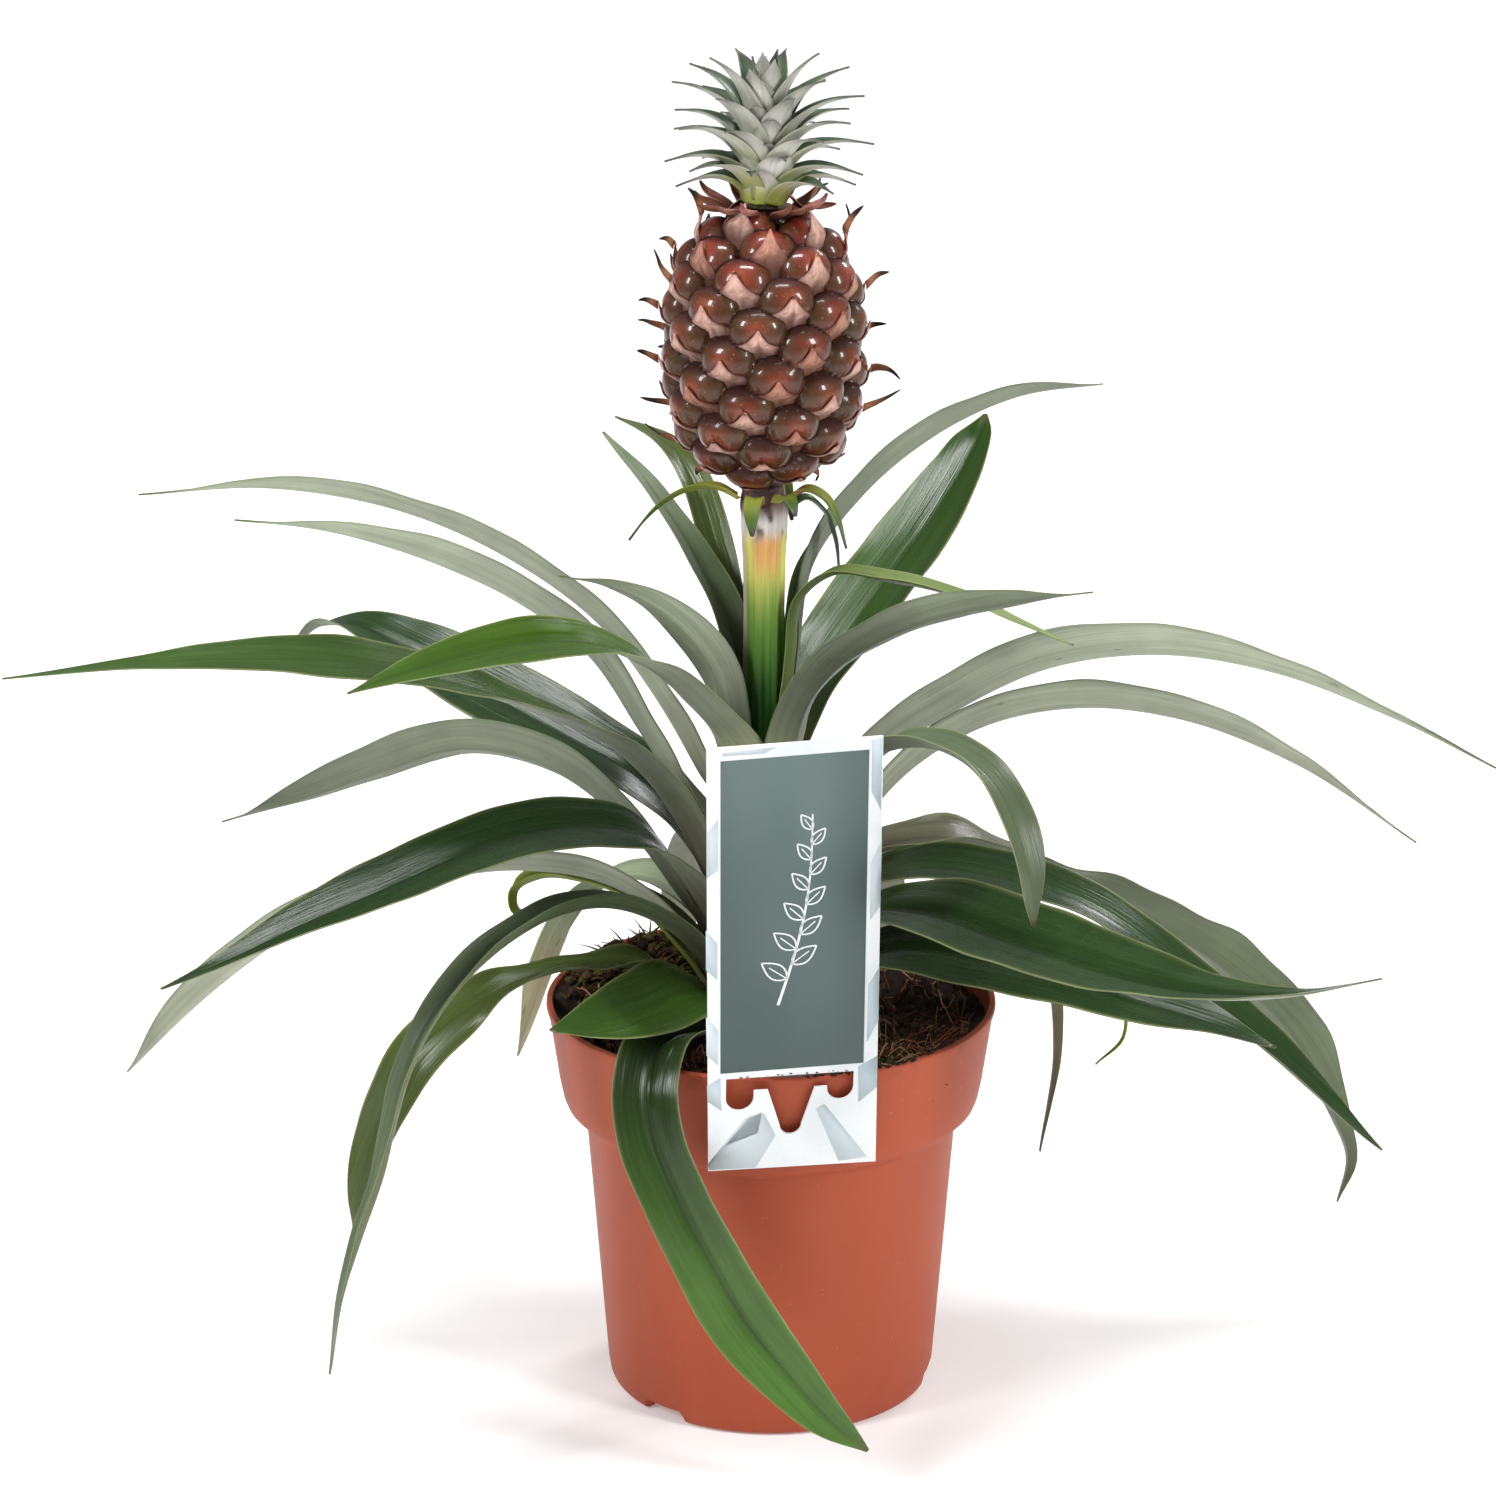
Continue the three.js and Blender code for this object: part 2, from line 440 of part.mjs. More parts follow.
// How far the peat's top lies above soilHeight: small bumps, and banked up towards the wall but for the front
function soilBump(x, y) {
  const bumps = Math.sin(x * 0.31 + 1.3) * Math.cos(y * 0.27 + 0.4) + 0.6 * Math.sin(x * 0.11 - y * 0.19);
  const outer = THREE.MathUtils.smoothstep(Math.hypot(x, y), 26, 52);
  return 1.4 * bumps + soilBank * outer * THREE.MathUtils.smoothstep(y, -34, 6);
}

// Peat that fills the pot, with a pit that the stem stands in
function soilMesh() {
  const wallGap = gap + 0.4;
  const inside = [...potInside].sort((a, b) => a[1] - b[1]).map(([radius, height]) => [height, radius]);
  const side = [6, 40, 72, 75].map((height) => [along(inside, height) - wallGap, height]);
  const pit = along(stemProfile, soilHeight) + gap + 0.3;
  const pitFloor = stemProfile[0][0] - gap;
  const rim = [84, 90, soilHeight].map((height) => [along(inside, height) - wallGap, height]);
  const top = [52, 46, 40, 33, 26, 19, 0].map((radius) => [radius, soilHeight]);
  const profile = [[0, floorTop + gap], [39.6, floorTop + gap], ...side, [48.2, 78.4], ...rim];
  const geometry = turned([...profile, ...top], 28);
  const places = geometry.attributes.position;
  for (let i = 0; i < places.count; i += 1) {
    const z = places.getZ(i);
    if (z > soilHeight - 0.1) places.setZ(i, z + soilBump(places.getX(i), places.getY(i)));
  }
  const pitTop = soilHeight + 20;
  const hollow = turned([[0, pitFloor], [pit, pitFloor], [pit, pitTop], [0, pitTop]], 20).translate(plantX, 0, 0);
  return meshOf("soil", geometryOf(solidOf(geometry).subtract(solidOf(hollow))), "soil");
}

function stemMesh() {
  const profile = stemProfile.map(([height, radius]) => [radius, height]);
  const geometry = turned([[0, stemProfile[0][0]], ...profile, [0, stalkTop]], 14);
  return meshOf("stem", geometry.translate(plantX, 0, 0), "stem");
}

// Barrel of the fruit at turn, in degrees, and tilt from -90 at the foot to 90 at the top
function barrel(turn, tilt) {
  const c = Math.cos(radians(tilt)) ** (2 / 2.2);
  const s = Math.sign(tilt) * Math.abs(Math.sin(radians(tilt))) ** (2 / 2.6);
  return { radius: fruitRadius * c, height: fruitMiddle + fruitHalfHeight * s, turn };
}

// The eyes wind round the fruit, each one golden angle on from the last
const eyeCount = 68;
const goldenAngle = 137.508;
const eyeReach = 7;
const eyes = Array.from({ length: eyeCount }, (_, i) => {
  const s = -0.95 + (1.88 * (i + 0.5)) / eyeCount;
  const tilt = THREE.MathUtils.radToDeg(Math.asin(Math.sign(s) * Math.abs(s) ** 1.3));
  return barrel((i * goldenAngle + 250) % 360, tilt);
});

function fruitPoint({ radius, height, turn }, outward = 0) {
  const steep = ((height - fruitMiddle) / fruitHalfHeight) * 0.9;
  const out = radius + outward * Math.cos(steep);
  return new THREE.Vector3(
    plantX + out * Math.cos(radians(turn)),
    out * Math.sin(radians(turn)),
    height + outward * Math.sin(steep),
  );
}

function eyeDome(point) {
  const nearest = Math.min(...eyes.map((eye) => fruitPoint(eye).distanceTo(point)));
  return 2.6 * Math.sqrt(Math.max(0, 1 - (nearest / eyeReach) ** 2)) - 1.2;
}

// A closed three-sided body through rings of three points
function tapered(rings) {
  const last = (rings.length - 1) * 3;
  const faces = [0, 1, 2, last, last + 2, last + 1];
  for (let ring = 0; ring < last; ring += 3) {
    for (let k = 0; k < 3; k += 1) {
      const a = ring + k;
      const b = ring + ((k + 1) % 3);
      faces.push(a, b + 3, b, a, a + 3, b + 3);
    }
  }
  const geometry = new THREE.BufferGeometry();
  const points = rings.flat().flatMap((point) => point.toArray());
  geometry.setAttribute("position", new THREE.Float32BufferAttribute(points, 3));
  geometry.setIndex(faces);
  return geometry;
}

// One bract of the fruit: a three-sided point that lies over the lower half of its eye
function eyeBract({ radius, height, turn }) {
  const place = (down, wide, outward) => {
    const side = THREE.MathUtils.radToDeg(wide / Math.max(radius, 6));
    return fruitPoint({ radius, height: height - down, turn: turn + side }, outward);
  };
  const rings = [
    [place(6.2, -2.6, -1.6), place(6.2, 2.6, -1.6), place(5.2, 0, 0.9)],
    [place(3.4, -1.9, -0.6), place(3.4, 1.9, -0.6), place(3, 0, 2.2)],
    [place(0.4, -0.35, 1), place(0.4, 0.35, 1), place(0.2, 0, 3.3)],
  ];
  return solidOf(tapered(rings));
}

function fruitMesh() {
  const around = 45;
  const up = 23;
  const points = [];
  for (let row = 1; row < up; row += 1) {
    for (let k = 0; k < around; k += 1) {
      const turn = ((k + (row % 2) / 2) * 360) / around;
      const base = barrel(turn, -90 + (180 * row) / up);
      const dome = eyeDome(fruitPoint(base));
      points.push(fruitPoint(base, row < 2 || row > up - 2 ? 0 : dome));
    }
  }
  const foot = points.push(new THREE.Vector3(plantX, 0, stalkTop + gap)) - 1;
  const head = points.push(new THREE.Vector3(plantX, 0, fruitMiddle + fruitHalfHeight)) - 1;
  const faces = [];
  const at = (row, k) => (row - 1) * around + ((k + around) % around);
  for (let k = 0; k < around; k += 1) {
    faces.push(foot, at(1, k + 1), at(1, k), head, at(up - 1, k), at(up - 1, k + 1));
    for (let row = 1; row < up - 1; row += 1) {
      faces.push(at(row, k), at(row, k + 1), at(row + 1, k + 1), at(row, k), at(row + 1, k + 1), at(row + 1, k));
    }
  }
  const geometry = new THREE.BufferGeometry();
  geometry.setAttribute("position", new THREE.Float32BufferAttribute(points.flatMap((p) => p.toArray()), 3));
  geometry.setIndex(faces);
  const tips = eyes.filter(({ height }) => height > stalkTop + 9).map(eyeBract);
  return meshOf("fruit", grown([solidOf(geometry), ...tips]), "fruit");
}

// A three-sided leaf for the crown, level 0 at its foot and 1 at its top, along a curve from root to tip
function crownLeaf(turn, level) {
  const way = radians(turn);
  const outward = new THREE.Vector3(Math.cos(way), Math.sin(way), 0);
  const sideways = new THREE.Vector3(-Math.sin(way), Math.cos(way), 0);
  const root = [5 - 3.4 * level, 1.6 + 16 * level];
  const tipHeight = 1.6 + 38.6 * Math.min(1, level / 0.88) ** 0.95;
  const spread = 28.4 - 0.012 * (tipHeight - 14) ** 2;
  const tip = [spread * (1 - 0.9 * THREE.MathUtils.smoothstep(level, 0.84, 1)), tipHeight];
  const knee = [
    root[0] + (0.3 - 0.04 * level) * (tip[0] - root[0]),
    root[1] + (1 - 0.25 * level) * (tip[1] - root[1]) + 7 * (1 - level),
  ];
  const widest = 9.6 - 1.4 * level;
  const steps = 5;
  const rings = [];
  for (let i = 0; i <= steps; i += 1) {
    const t = i / steps;
    const [reach, height] = root.map((from, k) => (1 - t) ** 2 * from + 2 * t * (1 - t) * knee[k] + t ** 2 * tip[k]);
    const [out, rise] = root.map((from, k) => (1 - t) * (knee[k] - from) + t * (tip[k] - knee[k]));
    const width = Math.max(0.8, widest * (1 - t ** 1.8));
    const centre = new THREE.Vector3(plantX, 0, crownBottom + height).addScaledVector(outward, reach);
    const up = new THREE.Vector3(0, 0, out).addScaledVector(outward, -rise).normalize();
    rings.push([
      centre.clone().addScaledVector(sideways, width / 2).addScaledVector(up, width * 0.22),
      centre.clone().addScaledVector(up, -0.7),
      centre.clone().addScaledVector(sideways, -width / 2).addScaledVector(up, width * 0.22),
    ]);
  }
  return solidOf(tapered(rings));
}

function crownMesh() {
  const leafCount = 38;
  const bottom = crownBottom;
  const core = turned([
    [0, bottom], [5, bottom + 0.4], [7, bottom + 3], [6.4, bottom + 9], [4, bottom + 16], [0, bottom + 21],
  ], 10).translate(plantX, 0, 0);
  const parts = [solidOf(core)];
  for (let i = 0; i < leafCount; i += 1) {
    parts.push(crownLeaf(i * goldenAngle + 268, i / (leafCount - 1)));
  }
  return meshOf("crown", grown(parts), "crown");
}

// The card: hung on the rim by a tongue cut from its lower part and folded back over the rim
const labelThickness = 0.6;
const labelTongueWidth = 12;
const labelWindowTop = 2;
const labelTurn = 10; // degrees round the upright
const labelLean = 6; // degrees its top comes forward
const labelPlace = [5, -61.2, rimHeight];

function labelMesh() {
  const corner = (u, v) => new THREE.Vector2(u, v);
  const card = new THREE.Shape([corner(-21.2, -24), corner(22.2, -24.5), corner(20.5, 93.8), corner(-23.3, 92.8)]);
  // The window that the tongue leaves: two lobes with the tongue's own opening between them
  const opening = new THREE.Path();
  opening.moveTo(-17, labelWindowTop);
  opening.lineTo(-17, -3.6);
  opening.absarc(-13.4, -3.6, 3.6, Math.PI, 2 * Math.PI, false);
  opening.lineTo(-9.8, -1.8);
  opening.lineTo(-6.2, -1.8);
  opening.lineTo(-3, -12);
  opening.absarc(-0.2, -12, 2.8, Math.PI, 2 * Math.PI, false);
  opening.lineTo(5.8, -1.8);
  opening.lineTo(9, -1.8);
  opening.absarc(12.4, -2.4, 3.4, Math.PI, 2 * Math.PI, false);
  opening.lineTo(15.8, labelWindowTop);
  opening.closePath();
  card.holes.push(opening);
  const face = new THREE.ExtrudeGeometry(card, { depth: labelThickness, bevelEnabled: false, curveSegments: 5 });
  // Side view of the folded tongue: back over the rim, then down inside the pot
  const fold = new THREE.Shape([
    corner(0.3, labelWindowTop + 0.7), corner(-5, 1.5), corner(-5, -9.5), corner(-4.4, -9.5),
    corner(-4.4, 0.9), corner(0.3, labelWindowTop),
  ]);
  const tongue = new THREE.ExtrudeGeometry(fold, { depth: labelTongueWidth, bevelEnabled: false });
  tongue.rotateY(-Math.PI / 2).translate(7, 0, 0);
  const geometry = geometryOf(solidOf(face).add(solidOf(tongue)));
  const turn = new THREE.Matrix4().makeRotationZ(radians(labelTurn));
  const lean = new THREE.Matrix4().makeRotationX(radians(90 + labelLean));
  geometry.applyMatrix4(turn.multiply(lean)).translate(...labelPlace);
  return meshOf("label", geometry, "label");
}

const plant = new THREE.Group();
plant.add(potMesh(), soilMesh(), stemMesh(), fruitMesh(), crownMesh(), labelMesh());
plant.add(...leaves.map(leafMesh), ...bracts.map(bractMesh));

export default plant;
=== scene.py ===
# Looks of the potted pineapple plant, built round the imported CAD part.
# Lengths are in millimetres in the tables and functions, and become metres where a mesh is made.
import math
import random

import bpy
import numpy as np
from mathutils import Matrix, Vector, noise


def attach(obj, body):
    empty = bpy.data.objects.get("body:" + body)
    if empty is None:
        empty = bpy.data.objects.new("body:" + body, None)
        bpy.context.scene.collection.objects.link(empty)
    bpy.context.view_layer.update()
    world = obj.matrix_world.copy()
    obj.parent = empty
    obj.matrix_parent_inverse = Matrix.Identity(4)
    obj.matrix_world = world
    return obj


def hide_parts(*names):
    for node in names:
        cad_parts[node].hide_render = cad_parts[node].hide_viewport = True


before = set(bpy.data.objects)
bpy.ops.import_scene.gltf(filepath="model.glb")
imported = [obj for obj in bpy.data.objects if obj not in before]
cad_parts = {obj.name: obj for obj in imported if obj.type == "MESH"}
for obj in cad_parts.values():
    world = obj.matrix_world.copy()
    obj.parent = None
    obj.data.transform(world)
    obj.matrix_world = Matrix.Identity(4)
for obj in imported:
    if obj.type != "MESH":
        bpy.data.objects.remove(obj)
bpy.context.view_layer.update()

MM = 0.001
PLANT_X = -2.0  # the plant's axis stands this far from the pot's
GOLDEN = 137.508  # degrees from one eye or crown leaf to the next
FRUIT_MIDDLE = 284.0
FRUIT_HALF_HEIGHT = 35.0
FRUIT_RADIUS = 24.6
FRUIT_FOOT = 252.0  # eyes below this height are small
EYE_COUNT = 71
CROWN_BOTTOM = 319.3
CROWN_TOP = 39.3  # above its bottom
CROWN_LEAVES = 48
CROWN_START = 330  # compass angle of the lowest crown leaf
RIM_HEIGHT = 108.0
SOIL_HEIGHT = 94.0
SOIL_RADIUS = 55.0
MOSS_TURN = 138  # compass angle of the moss, at the back left
CARD_THICKNESS = 0.6

# Counts of the small loose bodies
PEAT_CRUMBS = 520
RIM_CRUMBS = 46
PEAT_FIBRES = 760
MOSS_LUMPS = 260
MOSS_SHOOTS = 1100
LABEL_CRUMBS = 34

# Stem and stalk, as height and radius
STEM = [
    [84, 12.4], [97, 13.2], [112, 14.6], [128, 14.6], [142, 13.4], [154, 11.6], [164, 9.6], [173, 7.8],
    [182, 6.4], [193, 5.7], [215, 5.4], [228, 5.6], [236, 6.1], [243, 6.3], [248.4, 5.2],
]

# Rosette leaves: compass angle of the way out, tones of the upper and under side, and stations along the
# midrib (reach, height, width, roll in degrees, fold of the sides in degrees, and a sideways shift if any)
LEAVES = {
    "upright_back_left": (134, "greygreen", "grey", [
        (9, 178, 7, 0, 12), (9.4, 190, 10, 0, 18), (11, 201, 12, 0, 22), (16.4, 212.5, 12, 0, 25),
        (25, 223, 10.6, 0, 25), (36, 233.4, 8.4, 0, 25), (48, 243, 5.6, 0, 20), (61.7, 251.8, 1, 0, 0),
    ]),
    "upright_back": (106, "olive", "olive", [
        (9.2, 174, 5, 0, 12), (14, 195, 7, 0, 20, 1), (20, 211, 8, 0, 25, 3), (29, 225, 10, 0, 25, 5),
        (39, 238, 10, 0, 25, 7), (52, 246, 8, 0, 20, 10), (68, 248.5, 5, 0, 15, 14),
        (84, 249, 1, 0, 0, 18),
    ]),
    "tall_right": (36, "mid", "grey", [
        (9, 178, 6, 0, 12), (10.5, 202, 9, -10, 20), (15, 225, 12, -35, 25), (31, 241, 13, -50, 25),
        (55, 254, 13, -50, 20), (85, 261, 8, -40, 15), (114, 260, 1, -20, 0),
    ]),
    "broad_back_right": (55, "deep", "grey", [
        (10, 168, 11, 0, 12), (17, 184, 18, 0, 20), (33, 195, 24, 0, 20), (55, 208, 26, 0, 16),
        (78, 221, 24, 0, 16), (96, 234, 17, 0, 18), (105, 242, 10, 0, 20), (108, 247, 1.2, 0, 0),
    ]),
    "thin_inner_right": (338, "moss", "moss", [
        (8, 184, 5, 0, 12), (8.4, 205, 6, 0, 20), (10.5, 219, 6, 0, 20), (18.5, 226, 7, 0, 20),
        (35, 226, 8, 0, 20), (52, 224, 7, 0, 20), (68, 219, 4, 0, 10), (84, 214, 1, 0, 0),
    ]),
    "front_right": (322, "mid", "grey", [
        (10, 166, 9, 0, 8, -2), (12, 180, 15, 0, 16, -3.6), (15.6, 192, 18, 0, 18, -3.2),
        (23, 202.6, 17, -12, 18, -2), (36, 212.6, 15, -26, 20), (58, 223.4, 14, -36, 20),
        (80, 230.4, 8.6, -34, 16), (101, 236, 1, 0, 0),
    ]),
    "long_right_upper": (346, "mid", "pale", [
        (14, 154, 9, 0, 10), (20, 165, 15, -5, 20), (32, 178.6, 22.4, -15, 26), (50, 191.4, 24.4, -25, 28),
        (75, 205, 24, -30, 30), (104, 210.6, 20, -30, 30), (132, 208, 14, -25, 25), (162, 198, 7, -15, 20),
        (189, 186, 1, 0, 0),
    ]),
    "long_right_lower": (357, "mid", "pale", [
        (15, 138, 10, 0, 10), (24, 155, 15, -5, 20), (38, 172, 19, -15, 28), (57, 184.4, 19.4, -25, 30),
        (82, 190, 20, -28, 30), (110, 187, 17, -25, 30), (138, 176, 11, -20, 25), (171, 154, 1, 0, 0),
    ]),
    "curled_right": (307, "greygreen", "grey", [
        (16, 150, 9, 0, 10), (25, 166, 13, 0, 18), (38, 181, 18, 0, 20), (56, 191.5, 18, 0, 22),
        (74, 195, 16, -8, 22), (89, 192, 15, -15, 22), (100, 183, 14, -12, 20), (106, 171, 10, -10, 18),
        (108.6, 158.6, 1, 0, 0),
    ]),
    "broad_front_right": (310, "dark", "grey", [
        (16, 122, 12, 0, 8), (24, 132, 18, 5, 12), (40, 142.6, 23, 8, 13), (64, 149, 28, 12, 12),
        (96, 150.4, 28, 14, 10), (128, 151.4, 24, 14, 10), (158, 154.6, 15, 10, 12), (186, 162, 6, 5, 12),
        (213.6, 173.8, 1, 0, 0),
    ]),
    "hanging_right": (20, "mid", "shade", [
        (16, 124, 10, 0, 8), (28, 137, 14, 0, 18), (46, 141, 17, 0, 18), (62, 134, 18, 0, 18),
        (76, 120, 15, 0, 20), (84, 100, 9, 0, 20), (86, 80, 5, 0, 15), (82, 51, 1, 0, 0),
    ]),
    "arched_right": (338, "dark", "grey", [
        (16, 132, 10, 0, 8), (26, 142, 15, 5, 12), (44, 149, 22, 8, 14), (68, 149, 24, 5, 14),
        (92, 143, 22, 0, 16), (114, 130, 20, 0, 18), (136, 115, 17, 0, 20), (154, 101, 10, 0, 20),
        (169, 90, 1, 0, 0),
    ]),
    "far_right": (9, "brown", "greygreen", [
        (16, 134, 10, 0, 8), (28, 146, 14, 0, 15), (46, 150, 20, 0, 18), (70, 142, 23, -10, 18),
        (98, 128, 24, -30, 15), (126, 110, 22, -45, 15), (148, 88, 17, -50, 18), (161, 62, 8, -40, 20),
        (165, 49, 5, -20, 15), (162, 37, 1, 0, 0),
    ]),
    "low_right": (328, "dark", "greygreen", [
        (16, 112, 11, 5, 8), (26, 122, 17, 10, 12), (42, 129, 23, 16, 10), (66, 131, 27, 19, 8),
        (92, 131, 26, 18, 8), (116, 128, 20, 18, 12), (136, 126, 9, 10, 12), (149, 124, 1, 0, 0),
    ]),
    "thin_low_right": (357, "lime", "lime", [
        (17, 106, 9, 0, 8), (28, 118, 11, 0, 18), (45, 127, 11, 0, 20), (67, 125, 10, 0, 20),
        (85, 117, 7, 0, 20), (96, 107, 4, 0, 15), (96, 98, 3, 0, 10), (89, 90, 1, 0, 0),
    ]),
    "long_left_upper": (187, "mid", "pale", [
        (14, 160, 9, 0, 10), (17, 172, 12, 10, 20), (26, 189, 13, 20, 22), (42, 212, 13, 25, 22),
        (64, 230, 13, 30, 22), (92, 244, 12, 30, 20), (124, 251, 9, 30, 20), (159, 250, 1, 0, 0),
    ]),
    "long_left_lower": (174, "mid", "pale", [
        (15, 149, 9, 0, 10), (21, 163, 13, 10, 20), (32, 181, 15, 25, 22), (46, 202, 16, 35, 25),
        (65, 216, 17, 40, 25), (90, 227, 15, 40, 22), (114, 233, 9, 30, 15), (139, 235, 1, 0, 0),
    ]),
    "short_inner_left": (205, "mid", "pale", [
        (10, 176, 7, 5, 10), (10.8, 188, 11, 20, 18), (14, 200, 14, 38, 18), (20, 209, 13, 45, 18),
        (30, 218.6, 10, 42, 18), (43, 226, 6, 30, 15), (57, 230, 1, 0, 0),
    ]),
    "front_left": (225, "bright", "pale", [
        (10, 164, 13, 0, 12), (13, 180, 18, 0, 18), (25, 194, 19, 0, 18), (40, 207, 18, -6, 18),
        (58, 216.5, 18, -18, 15), (80, 221.5, 17, -26, 12), (104, 222.5, 13, -26, 12),
        (124, 222, 7, -18, 10), (139, 221, 1, 0, 0),
    ]),
    "longest_left": (210, "mid", "grey", [
        (15, 136, 9, 0, 8), (19.5, 150, 13, 5, 15), (29, 168, 19, 8, 15), (44, 184, 20, 5, 15),
        (66, 197, 19, -3, 15), (92, 209, 19, -16, 12), (122, 218, 18, -24, 12), (154, 223, 11, -20, 12),
        (182, 225, 5, -8, 10), (206, 226, 1, 0, 0),
    ]),
    "broad_back_left": (155, "dark", "grey", [
        (15, 136, 10, 0, 8), (24, 152, 16, 0, 15), (37, 164, 23, -10, 12), (58, 173, 26, -18, 10),
        (84, 183, 26, -20, 10), (108, 192, 22, -15, 12), (126, 196, 13, 0, 18), (135, 194.4, 7, 20, 20),
        (142.6, 189, 1, 25, 0),
    ]),
    "grey_left": (176, "mid", "grey", [
        (16, 124, 9, 0, 10), (24, 139, 12, 12, 18), (36, 155, 16, 28, 22), (55, 170.4, 18, 44, 22),
        (78, 176, 18, 50, 22), (104, 168, 17, 50, 22), (126, 159.4, 11, 38, 20), (144.6, 153.4, 1, 0, 0),
    ]),
    "broad_front_left": (215, "dark", "grey", [
        (16, 126, 12, 0, 8), (24, 144, 19, -5, 12), (37, 159, 23, -15, 10), (58, 166, 24, -18, 10),
        (86, 166, 22, -16, 14), (112, 161, 20, -16, 18), (138, 156, 14, -16, 24), (160, 151, 6, -8, 20),
        (177, 148, 1, 0, 0),
    ]),
    "under_left": (180, "mid", "pale", [
        (17, 114, 11, 0, 8), (25, 129, 15, 10, 18), (41, 140, 18, 25, 20), (64, 144, 19, 30, 20),
        (92, 140, 20, 35, 20), (118, 131, 20, 35, 20), (142, 115, 19, 35, 18), (160, 98, 13, 30, 15),
        (171, 86, 1, 20, 0),
    ]),
    "drooping_left": (218, "greygreen", "greygreen", [
        (17, 111, 9, 0, 8), (24, 127.4, 12, 0, 18), (38.4, 139.6, 12, 5, 28), (53.4, 145.5, 11, 8, 34),
        (68, 146, 11, 8, 38), (81, 142.6, 11, 5, 38), (93, 136.5, 11, 0, 38), (102, 129.5, 10, 0, 34),
        (109, 121.5, 9.5, 0, 30), (114, 112, 9, 5, 30), (118, 101, 8, 10, 30), (122, 88.5, 8, 20, 28),
        (129, 72.8, 7.5, 25, 25), (134.6, 58.4, 5, 20, 20), (139, 38.5, 1, 10, 0),
    ]),
    "drooping_left_inner": (203, "olive", "greygreen", [
        (17, 104.6, 8, 0, 8), (23, 114.6, 9.4, 0, 15), (33, 120.5, 12, 0, 20), (47, 123.4, 11.6, 0, 24),
        (60, 123.6, 11, -2, 22), (72, 121.4, 11.6, -12, 18), (83, 116.4, 13, -30, 15),
        (92, 110.6, 14.4, -46, 12), (99, 104.4, 14, -58, 12), (104, 96.4, 12.6, -62, 15),
        (108.4, 88, 11, -60, 15), (112, 79, 9, -56, 15), (114.7, 69, 5, -50, 12), (116, 59.5, 1, 0, 0),
    ]),
    "short_front": (236, "mid", "grey", [
        (17, 105, 8, -5, 8), (25, 115.5, 15, -15, 10), (37, 120.6, 23, -25, 10), (52, 121.6, 22, -30, 8),
        (68, 123, 17, -32, 8), (83, 125.4, 9, -30, 8), (94, 128, 2, -10, 0),
    ]),
    "over_pot_front": (262, "mid", "grey", [
        (17, 102.5, 8, 0, 6), (26, 109, 13, 0, 10, -3), (42, 113, 16, 0, 12, -12),
        (57, 114, 17, 0, 14, -19.6), (65, 106.5, 17.5, 0, 14, -21), (69, 95, 18, 0, 16, -19),
        (71.5, 80, 18, 0, 16, -12.6), (73, 64, 19, 0, 14, -4.2), (74, 46.6, 19.4, 0, 12, 6),
        (75, 33, 16, 0, 14, 17.4), (75.6, 21.6, 10, 0, 16, 28.4), (76, 14.4, 1, 0, 0, 37.4),
    ]),
    # This leaf's pale mint tone is painted light shining through it from behind.
    "hanging_back_left": (150, "backlit_mint", "backlit_mint", [
        (17, 122, 11, 0, 8), (25, 132, 15, 0, 15), (38, 135, 17, 0, 20), (51, 130, 18, 0, 20),
        (61, 118, 18, 0, 20), (68, 103, 17, 0, 18), (74, 87, 9, 0, 15), (79, 75, 1, 0, 0),
    ]),
    "looped_left": (171, "lime", "lime", [
        (17, 108, 8, 0, 8), (25, 123, 10, 0, 16), (35, 133, 11, 0, 20), (49, 138, 11, 0, 20),
        (61, 138, 10, 0, 25), (67, 134, 8, 0, 25), (67, 129, 6, 0, 20), (60, 127, 4, 0, 10),
        (52, 129, 1, 0, 0),
    ]),
    "low_back_left": (104, "dark", "grey", [
        (17, 116, 11, 0, 8), (27, 130, 11, 0, 15), (45, 136, 18, 0, 18), (66, 130, 18, 0, 18),
        (86, 113, 16, 0, 18), (99, 92, 10, 0, 15), (106, 72, 1, 0, 0),
    ]),
    "low_back": (88, "dark", "grey", [
        (16, 130, 11, 0, 8), (28, 143, 16, 0, 15), (50, 148, 20, 0, 16), (78, 142, 20, 0, 16),
        (104, 126, 17, 0, 16), (124, 102, 10, 0, 15), (134, 78, 1, 0, 0),
    ]),
    "low_back_right": (68, "dark", "grey", [
        (17, 118, 11, 0, 8), (27, 131, 12, 0, 15), (46, 137, 19, 0, 16), (68, 131, 19, 0, 16),
        (86, 116, 16, 0, 16), (98, 96, 9, 0, 15), (103, 78, 1, 0, 0),
    ]),
}

